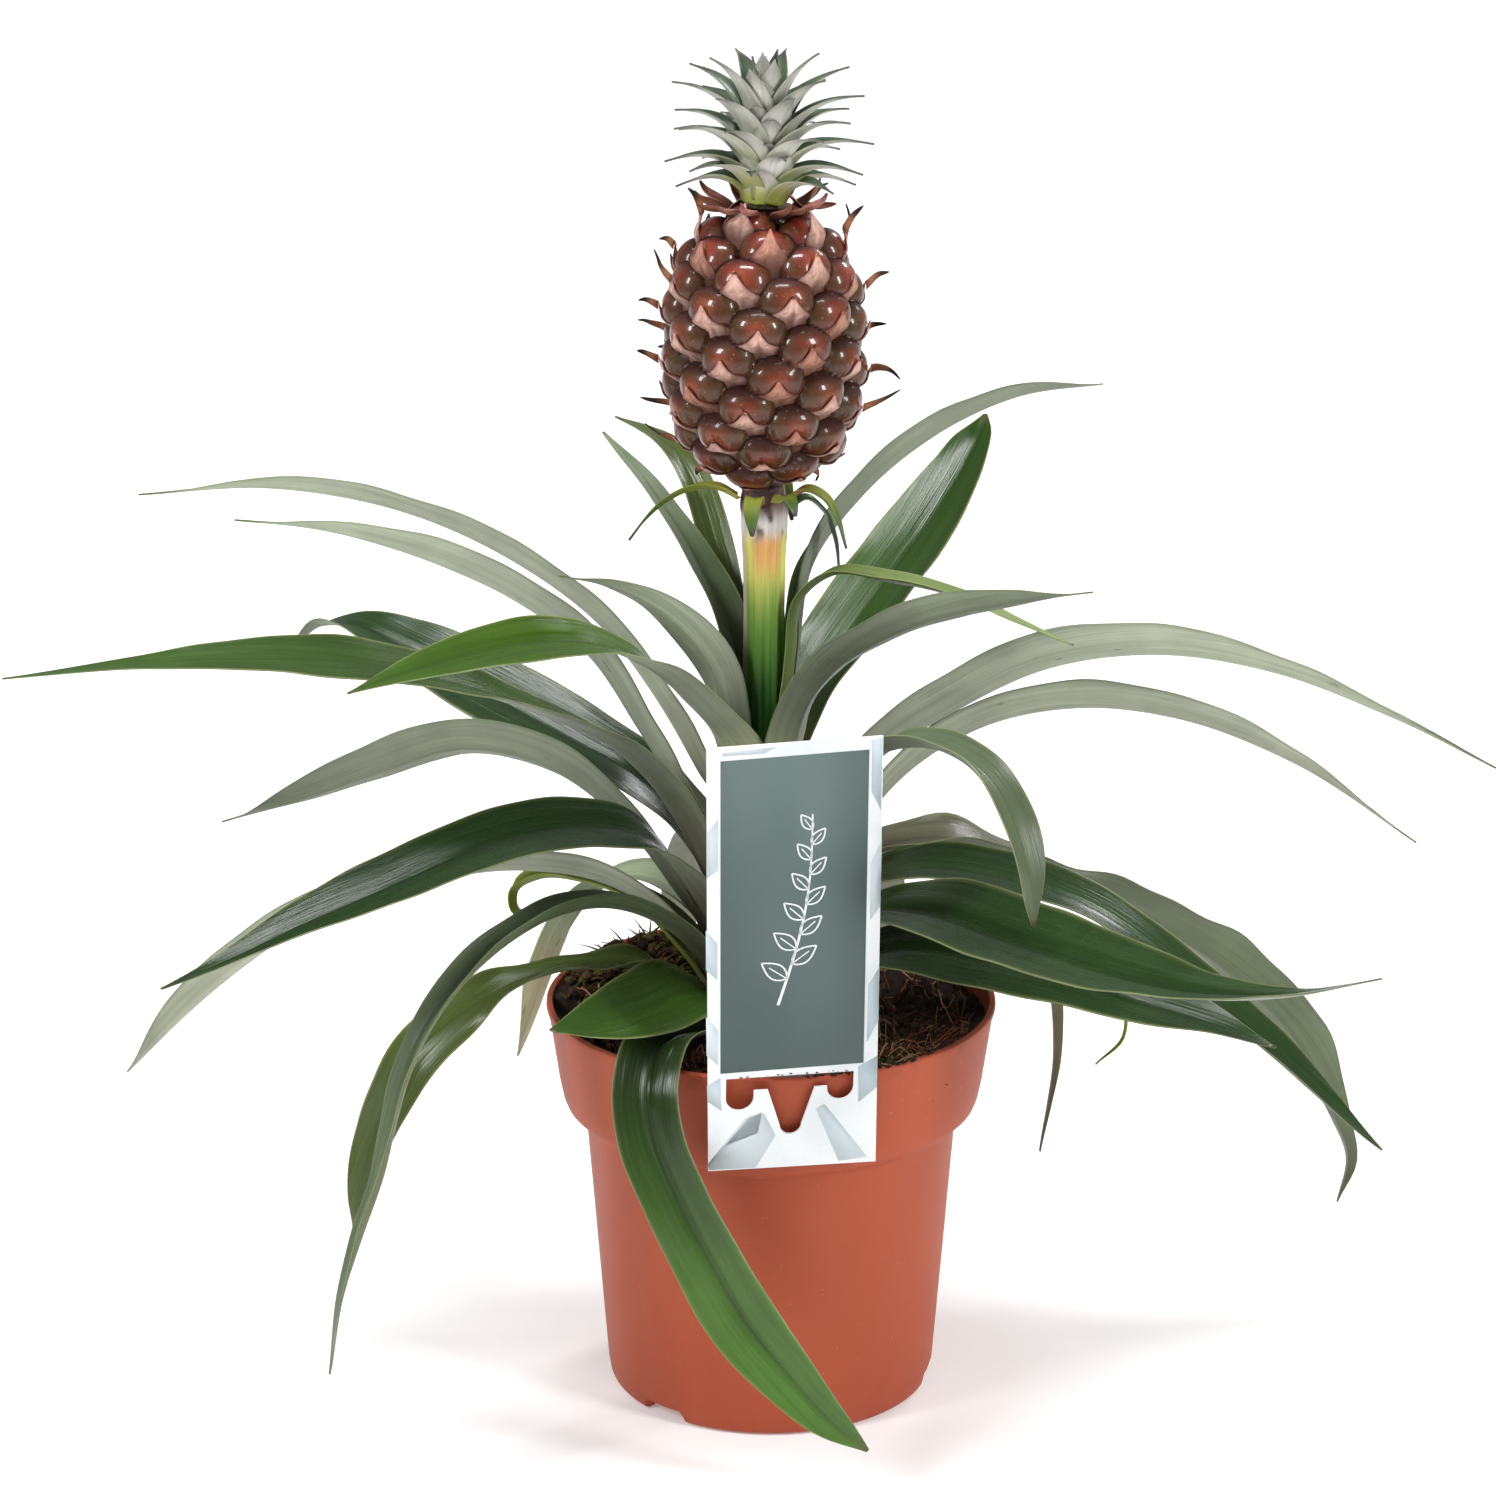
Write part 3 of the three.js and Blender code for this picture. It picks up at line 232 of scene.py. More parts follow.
# Small leaves on the stalk, in the same form but without tones
SMALL_LEAVES = {
    "long_left": (188, [
        (6.9, 244.6, 6, 0, 20), (12, 247.2, 6, 0, 25), (18, 247.4, 5.5, 15, 25), (25, 244.6, 4.5, 25, 20),
        (31, 239.6, 2.5, 20, 10), (35, 234.5, 1, 0, 0),
    ]),
    "hanging_front": (256, [
        (6.9, 244.2, 4, 0, 10), (10, 246.4, 5, 0, 20), (12.5, 244.4, 4.6, 0, 20), (13, 241, 3, 0, 10),
        (12.6, 237.4, 1, 0, 0),
    ]),
    "short_front": (300, [
        (6.9, 244.8, 4, 0, 10), (10.4, 246.8, 5, 0, 20), (14, 245.8, 3.6, 0, 15), (16, 243, 1, 0, 0),
    ]),
    "long_right": (344, [
        (6.9, 244.6, 5, 0, 15), (11, 247, 6, 0, 25), (15.6, 245.4, 5.6, 0, 25), (19.4, 240.2, 4, 0, 15),
        (22, 232.6, 1, 0, 0),
    ]),
    "grey_right": (10, [
        (6.9, 241.4, 4.6, 0, 15), (11, 243.8, 5.4, 0, 20), (15.4, 240.6, 5.4, 0, 20),
        (18.4, 233.6, 4.4, 0, 15), (20, 223.4, 1, 0, 0),
    ]),
    "back": (72, [
        (6.9, 243.8, 5, 0, 15), (11, 246.4, 6, 0, 25), (16, 245, 5, 0, 25), (21, 239.6, 3, 0, 15),
        (24, 233, 1, 0, 0),
    ]),
}

# Leaves that grow lighter or darker from foot to tip, have wavy edges, or have a deep groove
SHADED = {"over_pot_front": (0.45, 1.65), "curled_right": (1.5, 0.75), "upright_back_left": (0.7, 1.4)}
WAVY = {"drooping_left_inner": 1.2, "far_right": 0.7}
GROOVED = {"over_pot_front": 1.1, "broad_front_right": 1.3, "drooping_left": 0.8}
COLOURS = {
    "bright": (54, 84, 16),
    "deep": (38, 68, 8),
    "mid": (48, 74, 24),
    "dark": (30, 54, 20),
    "olive": (66, 80, 34),
    "lime": (124, 140, 50),
    "moss": (104, 122, 66),
    "brown": (92, 92, 72),
    "grey": (128, 136, 116),
    "greygreen": (90, 104, 76),
    "shade": (122, 132, 108),
    # The mint tone is painted backlight, light through a leaf from behind, not the leaf's own colour.
    "backlit_mint": (180, 196, 160),
    "pale": (166, 173, 152),
}


def colour(red, green, blue):
    """Linear colour of an 8-bit screen colour."""
    screen = np.array([red, green, blue]) / 255
    return np.where(screen <= 0.04045, screen / 12.92, ((screen + 0.055) / 1.055) ** 2.4)


def ease(low, high, x):
    """Smooth step from 0 at low to 1 at high. low may be the greater."""
    t = np.clip((np.asarray(x, float) - low) / (high - low), 0, 1)
    return t * t * (3 - 2 * t)


def bell(x, width):
    """1 where x is 0, fading out to both sides over about the width."""
    return np.exp(-((x / width) ** 2))


def mixed(a, b, amount):
    """Colour a going to colour b by amount. An array of amounts gives an array of colours."""
    amount = np.asarray(amount, float)[..., None]
    return a * (1 - amount) + b * amount


def layered(hue, *layers):
    """A colour with others laid over it, each as a screen colour and its amount."""
    for tone, amount in layers:
        hue = mixed(hue, colour(*tone), amount)
    return hue


def unit(vectors):
    return vectors / np.maximum(np.linalg.norm(vectors, axis=-1, keepdims=True), 1e-9)


def stem_radius(height):
    return np.interp(height, *np.transpose(STEM))


# Meshes
def placed(name, data):
    """A new object in the scene."""
    thing = bpy.data.objects.new(name, data)
    bpy.context.scene.collection.objects.link(thing)
    return thing


def mesh_piece(name, material, points, faces, hues=None, uvs=None, replaced=(), sharp=None):
    """A smooth-shaded piece from points in millimetres, with a colour and a uv for each point."""
    mesh = bpy.data.meshes.new(name)
    mesh.from_pydata((np.asarray(points).reshape(-1, 3) * MM).tolist(), [], faces)
    mesh.materials.append(material)
    mesh.shade_smooth()
    if sharp is not None:
        mesh.set_sharp_from_angle(angle=math.radians(sharp))
    if hues is not None:
        hues = hues.reshape(-1, 3)
        layer = mesh.color_attributes.new("hue", "FLOAT_COLOR", "POINT")
        layer.data.foreach_set("color", np.c_[hues, np.ones(len(hues))].ravel())
    if uvs is not None:
        corners = np.empty(len(mesh.loops), np.int32)
        mesh.loops.foreach_get("vertex_index", corners)
        layer = mesh.uv_layers.new(name="UVMap")
        layer.data.foreach_set("uv", uvs.reshape(-1, 2)[corners].ravel())
    piece = placed(name, mesh)
    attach(piece, "root")
    if replaced:
        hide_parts(*replaced)


class Heap:
    """Many small closed bodies gathered into one piece."""

    def __init__(self):
        self.points, self.faces, self.hues, self.uvs, self.count = [], [], [], [], 0

    def add(self, points, faces, hues, uvs=None):
        points = np.asarray(points, float).reshape(-1, 3)
        self.points.append(points)
        self.faces += [tuple(index + self.count for index in face) for face in faces]
        self.hues.append(np.broadcast_to(hues, points.shape))
        self.uvs.append(points[:, :2] * MM if uvs is None else uvs)
        self.count += len(points)

    def piece(self, name, slot, material, replaced=()):
        points, hues, uvs = (np.concatenate(part) for part in (self.points, self.hues, self.uvs))
        mesh_piece(name, material, points, self.faces, hues, uvs, replaced)


def slab(grid, thickness):
    """Points and faces of a thin closed sheet round a grid of points: its upper side, then its under side."""
    offset = unit(np.cross(np.gradient(grid, axis=0), np.gradient(grid, axis=1)))
    offset = offset * (np.asarray(thickness) / 2)[..., None]
    points = np.concatenate([(grid + offset).reshape(-1, 3), (grid - offset).reshape(-1, 3)])
    rows, columns = grid.shape[:2]
    under = rows * columns
    faces = []
    for i in range(rows - 1):
        for k in range(columns - 1):
            a, b = i * columns + k, (i + 1) * columns + k
            faces += [(a, b, b + 1, a + 1), (under + a, under + a + 1, under + b + 1, under + b)]
        a, b = i * columns, (i + 1) * columns
        faces.append((a, under + a, under + b, b))
        a, b = a + columns - 1, b + columns - 1
        faces.append((a, b, under + b, under + a))
    for k in range(columns - 1):
        faces.append((k, k + 1, under + k + 1, under + k))
        a = (rows - 1) * columns + k
        faces.append((a, under + a, under + a + 1, a + 1))
    return points, faces


def on_both(upper, under=None):
    """Colours of a slab's points from those on its two sides, which may be alike."""
    return np.concatenate([upper.reshape(-1, 3), (upper if under is None else under).reshape(-1, 3)])


def ring_faces(rings, sides):
    """Faces between rings of points, each going to the next."""
    faces = []
    for i in range(rings - 1):
        for k in range(sides):
            a, b = i * sides + k, i * sides + (k + 1) % sides
            faces.append((a, b, b + sides, a + sides))
    return faces


def capped_faces(rings, sides):
    last = (rings - 1) * sides
    return [*ring_faces(rings, sides), tuple(range(sides - 1, -1, -1)), tuple(range(last, last + sides))]


def closed_tube(path, radii, sides=3):
    """Points and faces of a tapered tube along a path."""
    path = np.asarray(path, float)
    tangents = unit(np.gradient(path, axis=0))
    start = np.array([0.0, 0.0, 1.0]) if abs(tangents[0][2]) < 0.8 else np.array([1.0, 0.0, 0.0])
    turns = np.arange(sides)[:, None] * 2 * math.pi / sides
    rings = []
    for point, tangent, radius in zip(path, tangents, radii):
        side = unit(np.cross(tangent, start))
        start = np.cross(side, tangent)
        rings.append(point + radius * (np.cos(turns) * side + np.sin(turns) * start))
    return np.concatenate(rings), capped_faces(len(path), sides)


def lathe(profile, sides):
    """Points and faces of a body turned about +Z, from a profile of radius and height closed on the axis."""
    turns = np.arange(sides) * 2 * math.pi / sides
    inner = profile[1:-1]
    points = [(r * math.cos(turn), r * math.sin(turn), height) for r, height in inner for turn in turns]
    foot, top, last = len(points), len(points) + 1, len(points) - sides
    points += [(0, 0, profile[0][1]), (0, 0, profile[-1][1])]
    faces = ring_faces(len(inner), sides)
    for k in range(sides):
        faces += [(foot, (k + 1) % sides, k), (top, last + k, last + (k + 1) % sides)]
    return np.array(points, float), faces


# Materials
class Nodes:
    """A short way to write a material's node tree."""

    def __init__(self, name):
        self.material = bpy.data.materials.new(name)
        self.material.use_nodes = True
        self.tree = self.material.node_tree
        self.shader = self.tree.nodes["Principled BSDF"]

    def add(self, kind, inputs=None, **settings):
        node = self.tree.nodes.new(kind)
        for key, value in settings.items():
            setattr(node, key, value)
        for key, value in (inputs or {}).items():
            if isinstance(value, bpy.types.NodeSocket):
                self.tree.links.new(value, node.inputs[key])
            else:
                node.inputs[key].default_value = value
        return node

    def hue(self):
        return self.add("ShaderNodeAttribute", attribute_name="hue").outputs["Color"]

    def value(self, hue):
        return self.add("ShaderNodeRGBToBW", {"Color": hue}).outputs["Val"]

    def place(self, kind="Object"):
        return self.add("ShaderNodeTexCoord").outputs[kind]

    def noise(self, place, scale=1.0, detail=3.0, roughness=0.55, stretch=(1, 1, 1)):
        moved = self.add("ShaderNodeMapping", {"Vector": place, "Scale": stretch}).outputs["Vector"]
        inputs = {"Vector": moved, "Scale": scale, "Detail": detail, "Roughness": roughness}
        return self.add("ShaderNodeTexNoise", inputs).outputs["Fac"]

    def span(self, value, low, high, to_low, to_high):
        inputs = {"Value": value, "From Min": low, "From Max": high, "To Min": to_low, "To Max": to_high}
        return self.add("ShaderNodeMapRange", inputs).outputs["Result"]

    def even(self, value, to_low, to_high):
        """A noise's usual range brought to another."""
        return self.span(value, 0.3, 0.7, to_low, to_high)

    def blend(self, factor, a, b):
        return self.add("ShaderNodeMix", {0: factor, 6: a, 7: b}, data_type="RGBA").outputs[2]

    def scaled(self, hue, factor):
        """A colour made lighter or darker by a value."""
        node = self.add("ShaderNodeVectorMath", {0: hue, "Scale": factor}, operation="SCALE")
        return node.outputs["Vector"]

    def times(self, a, b):
        return self.add("ShaderNodeMath", {0: a, 1: b}, operation="MULTIPLY").outputs["Value"]

    def plus(self, a, b):
        return self.add("ShaderNodeMath", {0: a, 1: b}, operation="ADD").outputs["Value"]

    def bump(self, height, distance, strength):
        inputs = {"Height": height, "Distance": distance, "Strength": strength}
        self.link(self.add("ShaderNodeBump", inputs).outputs["Normal"], "Normal")

    def link(self, output, socket):
        self.tree.links.new(output, self.shader.inputs[socket])

    def constant(self, **values):
        for key, value in values.items():
            self.shader.inputs[key.replace("_", " ")].default_value = value


def leaf_material(name):
    """Lengthwise veins over the colour of each point. Dark upper sides shine, pale undersides are dull."""
    n = Nodes(name)
    hue, place = n.hue(), n.place("UV")
    veins = n.noise(place, detail=2, stretch=(2600, 26, 1))
    bands = n.noise(place, detail=2, stretch=(420, 14, 1))
    marks = n.noise(place, detail=2, stretch=(620, 130, 1))
    patches = n.noise(n.place(), stretch=(60, 60, 60))
    light = n.times(n.even(veins, 0.90, 1.10), n.even(bands, 0.86, 1.14))
    light = n.times(light, n.span(patches, 0.35, 0.65, 0.91, 1.09))
    value = n.value(hue)
    spots = n.times(n.span(marks, 0.68, 0.76, 0, 0.5), n.span(value, 0.14, 0.26, 0, 1))
    n.link(n.blend(spots, n.scaled(hue, light), (0.09, 0.10, 0.07, 1)), "Base Color")
    gloss = n.span(value, 0.06, 0.22, 0.25, 0.56)
    n.link(n.plus(gloss, n.even(bands, -0.05, 0.06)), "Roughness")
    n.bump(n.plus(veins, n.times(bands, 1.6)), 0.00018, 0.6)
    n.constant(Specular_IOR_Level=0.34)
    return n.material


def skin_material(name, rough, coat, fleck, grain):
    """A living skin: the colour of each point with pale flecks and fine grain. Its darkest parts are dull."""
    n = Nodes(name)
    hue, place = n.hue(), n.place()
    fine = n.noise(place, 900 * grain, 4)
    wide = n.noise(place, 160 * grain)
    light = n.times(n.even(fine, 0.84, 1.16), n.even(wide, 0.85, 1.15))
    spots = n.span(n.noise(place, 1500 * grain, 2), 0.66, 0.74, 0, fleck)
    n.link(n.blend(spots, n.scaled(hue, light), (0.62, 0.52, 0.45, 1)), "Base Color")
    value = n.value(hue)
    dull = n.span(value, 0.008, 0.03, 0.5, 0)
    n.link(n.plus(n.even(wide, rough - 0.06, rough + 0.08), dull), "Roughness")
    n.link(n.span(value, 0.012, 0.035, 0, coat), "Coat Weight")
    n.bump(fine, 0.00012, 0.5)
    n.constant(Coat_Roughness=0.05, Specular_IOR_Level=0.2)
    return n.material


def pot_material():
    """Moulded plastic with faint flow marks and specks, and smears of peat on the rim."""
    n = Nodes("pot")
    place = n.place()
    flow = n.noise(place, stretch=(30, 30, 8))
    grain = n.noise(place, 2200, 2)
    specks = n.span(n.noise(place, 700, 1), 0.75, 0.80, 0, 0.16)
    base = n.blend(n.even(flow, 0, 1), (0.345, 0.063, 0.027, 1), (0.385, 0.077, 0.034, 1))
    base = n.blend(specks, base, (0.72, 0.42, 0.33, 1))
    smear = n.span(n.noise(place, 130, 5, 0.7), 0.56, 0.72, 0, 0.55)
    height = n.add("ShaderNodeSeparateXYZ", {"Vector": place}).outputs["Z"]
    near_rim = n.span(height, 0.100, RIM_HEIGHT * MM, 0, 1)
    n.link(n.blend(n.times(smear, near_rim), base, (0.10, 0.035, 0.02, 1)), "Base Color")
    n.link(n.even(flow, 0.46, 0.56), "Roughness")
    n.bump(n.plus(grain, n.times(flow, 3)), 0.00008, 0.5)
    n.constant(Specular_IOR_Level=0.22)
    return n.material


def soil_material():
    n = Nodes("soil")
    hue, place = n.hue(), n.place()
    fine = n.noise(place, 1400, 5, 0.7)
    clump = n.noise(place, 260, 4)
    n.link(n.scaled(hue, n.times(n.even(fine, 0.45, 1.6), n.even(clump, 0.6, 1.4))), "Base Color")
    n.link(n.even(fine, 0.75, 0.98), "Roughness")
    n.bump(n.plus(fine, clump), 0.0009, 0.9)
    return n.material


def print_material():
    n = Nodes("print")
    hue, place = n.hue(), n.place()
    fibres = n.noise(place, 1800)
    wide = n.noise(place, 45, 2)
    n.link(n.scaled(hue, n.times(n.even(fibres, 0.975, 1.02), n.even(wide, 0.96, 1.03))), "Base Color")
    n.link(n.even(wide, 0.57, 0.67), "Roughness")
    n.bump(fibres, 0.00002, 0.4)
    return n.material


def card_material():
    n = Nodes("card")
    place = n.place()
    fibres = n.noise(place, 1800)
    wide = n.noise(place, 60)
    base = n.blend(n.span(wide, 0.35, 0.65, 0, 1), (0.68, 0.715, 0.735, 1), (0.77, 0.80, 0.81, 1))
    n.link(n.scaled(base, n.even(fibres, 0.97, 1.02)), "Base Color")
    n.link(n.even(wide, 0.34, 0.44), "Roughness")
    n.bump(fibres, 0.00002, 0.4)
    return n.material


leaf_look = leaf_material("leaf")
crown_look = leaf_material("crown")
fruit_look = skin_material("fruit", rough=0.34, coat=0.6, fleck=0.22, grain=1.0)
bract_look = skin_material("fruit_bract", rough=0.55, coat=0.0, fleck=0.25, grain=1.3)
dry_look = skin_material("dry", rough=0.8, coat=0.0, fleck=0.1, grain=1.5)
soil_look = soil_material()
pot_look = pot_material()
card_look = card_material()
print_look = print_material()


# Leaves
REACH, HEIGHT, WIDTH, ROLL, FOLD, SHIFT = range(6)
MIDRIB_FOLD, EDGE_FOLD = 0.4, 1.6  # shares of a station's fold


def sampled(rows, count):
    """Places and slopes at even steps of a smooth curve through the stations, and how far along each is."""
    rows = np.array([[*row, 0][:6] for row in rows], float)
    spans = np.linalg.norm(np.diff(rows[:, [REACH, SHIFT, HEIGHT]], axis=0), axis=1)
    knots = np.r_[0, np.cumsum(spans)]
    rates = np.diff(rows, axis=0) / spans[:, None]
    slopes = np.concatenate([rates[:1], rates[:1], rates[1:]])
    slopes[1:-1] = rates[:-1] * spans[1:, None] + rates[1:] * spans[:-1, None]
    slopes[1:-1] /= (spans[:-1] + spans[1:])[:, None]
    at = np.linspace(0, knots[-1], count + 1)
    i = np.clip(np.searchsorted(knots, at, side="right") - 1, 0, len(spans) - 1)
    t, span = ((at - knots[i]) / spans[i])[:, None], spans[i][:, None]
    place = rows[i] * (2 * t**3 - 3 * t**2 + 1) + rows[i + 1] * (3 * t**2 - 2 * t**3)
    place += span * (slopes[i] * (t**3 - 2 * t**2 + t) + slopes[i + 1] * (t**3 - t**2))
    slope = (rows[i + 1] - rows[i]) / span * (6 * t - 6 * t**2)
    slope += slopes[i] * (3 * t**2 - 4 * t + 1) + slopes[i + 1] * (3 * t**2 - 2 * t)
    return place, slope, at


def blade_grid(azimuth, rows, count, u, ripple=0.0, pleat=0.0, groove=0.0, seed=0.0, uv_start=0.0):
    """Middle surface of a folded blade, for places u across it from -1 to 1.

    Returns its points, each one's share of the length, how far it is from the midrib, and uvs for both sides.
    """
    place, slope, at = sampled(rows, count)
    way = math.radians(azimuth)
    outward = np.array([math.cos(way), math.sin(way), 0])
    sideways = np.array([-math.sin(way), math.cos(way), 0])
    centre = place[:, [REACH]] * outward + place[:, [SHIFT]] * sideways + np.array([PLANT_X, 0, 0])
    centre[:, 2] += place[:, HEIGHT]
    tangent = slope[:, [REACH]] * outward + slope[:, [SHIFT]] * sideways
    tangent[:, 2] += slope[:, HEIGHT]
    tangent = unit(tangent)
    level = unit(sideways - (tangent @ sideways)[:, None] * tangent)
    above = np.cross(tangent, level)
    roll = np.radians(place[:, [ROLL]])
    left = level * np.cos(roll) + above * np.sin(roll)
    up = above * np.cos(roll) - level * np.sin(roll)
    width = np.maximum(place[:, [WIDTH]], 0.3)
    angle = np.maximum(np.radians(place[:, [FOLD]]), 0.01)
    start, end = angle * MIDRIB_FOLD, angle * (MIDRIB_FOLD + (EDGE_FOLD - MIDRIB_FOLD) * np.abs(u))
    bend = width / 2 / ((EDGE_FOLD - MIDRIB_FOLD) * angle)
    side = np.sign(u) * bend * (np.sin(end) - np.sin(start))
    rise = bend * (np.cos(start) - np.cos(end))
    # Shallow lengthwise pleats that fade out at both ends, and a slow wave of the edges
    at = at[:, None]
    share = at / at[-1] + 0 * u
    fade = ease(0.02, 0.15, share) * ease(1.0, 0.7, share)
    rise = rise + pleat * fade * np.cos(u * math.pi * 3.5 + seed) * (1 - u**4) * np.minimum(1, width / 18)
    rise = rise - groove * fade * bell(u, 0.15) * np.minimum(1, width / 14)
    wave = np.sin(at * 0.17 + seed * 3 + u * 0.8) + 0.6 * np.sin(at * 0.31 + seed * 7)
    rise = rise + ripple * fade * wave * np.abs(u) ** 3
    points = centre[:, None] + left[:, None] * side[..., None] + up[:, None] * rise[..., None]
    out = u * width / 2
    uvs = np.stack([out + uv_start, at + 0 * u], axis=-1).reshape(-1, 2) * MM
    return points, share, out, np.concatenate([uvs, uvs])


ACROSS = np.array([0, 0.12, 0.3, 0.5, 0.7, 0.88, 0.965, 1])
ACROSS = np.concatenate([-ACROSS[:0:-1], ACROSS])
SHEATH = 9.0  # how far a leaf's clasping foot reaches down the stem


def blade_piece(name, azimuth, tones, rows, index):
    """One rosette leaf: pointed, thin at its edges, with a sheath that clasps the stem."""
    first, second = rows[:2]
    low = first[HEIGHT] - SHEATH
    sheath = [stem_radius(low) + 0.1, low, first[WIDTH] * 1.9, 0, 34]
    start = [stem_radius(first[HEIGHT]) + 0.7, first[HEIGHT], first[WIDTH] * 1.6, first[ROLL], 28]
    second = list(second)
    second[WIDTH] = max(second[WIDTH], min(second[WIDTH] * 1.25, rows[2][WIDTH] * 1.1))
    second[FOLD] += 4
    seed, u = index * 1.7, ACROSS
    grid, share, _, uvs = blade_grid(
        azimuth, [sheath, start, second, *rows[2:]], 84, u, ripple=WAVY.get(name, 0.2), pleat=0.2,
        groove=GROOVED.get(name, 0.45), seed=seed, uv_start=index * 40,
    )
    points, faces = slab(grid, (0.32 + 0.58 * (1 - u**2)) * (0.5 + 0.5 * ease(1.0, 0.8, share)))
    upper, under = (colour(*COLOURS[tone]) for tone in tones)
    base = colour(176, 178, 118) if first[HEIGHT] > 163 else colour(146, 136, 112)
    drift = np.sin(share * 7 + seed) * 0.12 + np.sin(u * 3 + seed * 2) * 0.08
    tops = mixed(upper, base, 0.6 * ease(0.24, 0.04, share))
    # Painted shade: the upper side darkened from just past its foot to halfway out, where the leaves above
    # shade it near the heart.
    tops = mixed(tops, upper * 0.62, 0.4 * ease(0.5, 0.2, share) * ease(0.04, 0.2, share))
    first_shade, last_shade = SHADED.get(name, (1, 1))
    shade = first_shade + (last_shade - first_shade) * ease(0.35, 0.75, share)
    tops = tops * ((1 + drift) * shade)[..., None]
    # Painted shade along the midrib groove: the upper side darkened down its middle.
    tops = mixed(tops, upper * 0.55, 0.45 * bell(u, 0.10))
    tops = mixed(tops, colour(168, 172, 112), 0.45 * ease(0.95, 1.0, np.abs(u)))
    unders = mixed(under, base, 0.7 * ease(0.28, 0.03, share))
    # Painted shade: the under side darkened about a third of the way out from its foot.
    unders = mixed(unders, under * 0.6, 0.5 * bell(share - 0.34, 0.12))
    unders = mixed(unders, upper, 0.3 * ease(0.75, 1.0, share)) * (1 + drift * 0.8)[..., None]
    unders = mixed(unders, upper, 0.5 * ease(0.93, 1.0, np.abs(u)))
    dry, dryness = colour(92, 72, 48), 0.6 * ease(0.975, 1.0, share)
    hues = on_both(mixed(tops, dry, dryness), mixed(unders, dry, dryness))
    mesh_piece("blade_" + name, leaf_look, points, faces, hues, uvs, ["leaf_" + name])


def small_leaf_piece(name, azimuth, rows, index):
    u = np.linspace(-1, 1, 11)
    grid, share, _, uvs = blade_grid(
        azimuth, rows, 40, u, ripple=0.12, pleat=0.08, seed=index * 2.3, uv_start=index * 40
    )
    points, faces = slab(grid, 0.25 + 0.45 * (1 - u**2))
    flush = colour(176, 120, 84) if index % 2 else colour(196, 186, 92)
    hue = mixed(flush, colour(140, 152, 58), ease(0, 0.35, share))
    hue = layered(hue, ((78, 104, 46), ease(0.35, 0.75, share)), ((70, 66, 60), ease(0.75, 1.0, share)))
    if name == "grey_right":
        hue = mixed(colour(84, 108, 62), colour(96, 104, 100), ease(0.2, 0.9, share))
    hues = on_both(hue, hue * 0.85)
    mesh_piece("small_leaf_" + name, leaf_look, points, faces, hues, uvs, ["bract_" + name])


for number, (leaf, (angle_out, upper_tone, under_tone, stations)) in enumerate(LEAVES.items()):
    blade_piece(leaf, angle_out, (upper_tone, under_tone), stations, number)
for number, (leaf, (angle_out, stations)) in enumerate(SMALL_LEAVES.items()):
    small_leaf_piece(leaf, angle_out, stations, number)


# Stem and stalk
def stem_piece():
    """The stem, green below and yellow above, with ribs, a strip of dry skin and a rough scarred top."""
    heights = np.concatenate([np.linspace(84, 180, 30), np.linspace(181, 248.4, 80)])
    turns = np.linspace(0, 2 * math.pi, 96, endpoint=False)
    turn, z = np.meshgrid(turns, heights)
    ribs = 0.28 * np.cos(turn * 7 + 0.5) + 0.12 * np.cos(turn * 17 + z * 0.02)
    scar = ease(233, 238, z)
    lumps = np.array([
        [noise.noise(Vector((math.cos(t) * 2.2, math.sin(t) * 2.2, h * 0.22))) for t in turns]
        for h in heights
    ])
    radius = stem_radius(z) + ribs * ease(176, 196, z) * (1 - scar) - 0.25 + 0.9 * scar * lumps
    points = np.stack([PLANT_X + radius * np.cos(turn), radius * np.sin(turn), z], axis=-1)
    around = np.degrees(turn)
    stripes = 0.5 + 0.5 * np.cos(turn * 9 + 0.6) * np.cos(turn * 4 + 1.1)
    facing = np.cos(np.radians(around - 280))
    hue = layered(
        colour(44, 84, 34),
        ((112, 152, 62), ease(190, 220, z)),
        ((218, 214, 112), ease(208, 230, z - 5 * stripes)),
        ((62, 110, 40), 0.7 * ease(0.45, 0.9, stripes) * ease(228, 196, z)),
        ((224, 150, 96), 0.8 * ease(221, 231, z) * ease(0.45, 1.0, facing)),
    )
    skin = ease(24, 8, np.abs((around - 196 + 180) % 360 - 180)) * ease(180, 188, z)
    hue = mixed(hue, mixed(colour(120, 104, 92), colour(190, 176, 160), ease(196, 232, z)), skin)
    hue = mixed(hue, mixed(colour(206, 200, 196), colour(104, 84, 76), ease(238, 244, z)), scar)
    hue = layered(
        hue, ((84, 62, 58), scar * ease(0.12, 0.4, lumps)), ((96, 70, 48), 0.8 * ease(150, 100, z))
    )
    faces = capped_faces(*z.shape)
    uvs = np.stack([turn * 6, z], axis=-1) * MM
    mesh_piece("stalk", leaf_look, points, faces, hue, uvs, ["stem"])


stem_piece()


# Fruit
def barrel(turn, tilt):
    """Place and outward normal on the fruit's smooth barrel, for angles in degrees of one shape."""
    turn, tilt = np.radians(turn), np.radians(tilt)
    side = np.maximum(np.cos(tilt), 0) ** (2 / 2.2)
    rise = np.sign(tilt) * np.abs(np.sin(tilt)) ** (2 / 2.6)
    x, y = FRUIT_RADIUS * side * np.cos(turn), FRUIT_RADIUS * side * np.sin(turn)
    place = np.stack([PLANT_X + x, y, FRUIT_MIDDLE + FRUIT_HALF_HEIGHT * rise], axis=-1)
    slope = side**1.2 / FRUIT_RADIUS
    up = np.sign(rise) * np.abs(rise) ** 1.6 / FRUIT_HALF_HEIGHT
    return place, unit(np.stack([slope * np.cos(turn), slope * np.sin(turn), up], axis=-1))


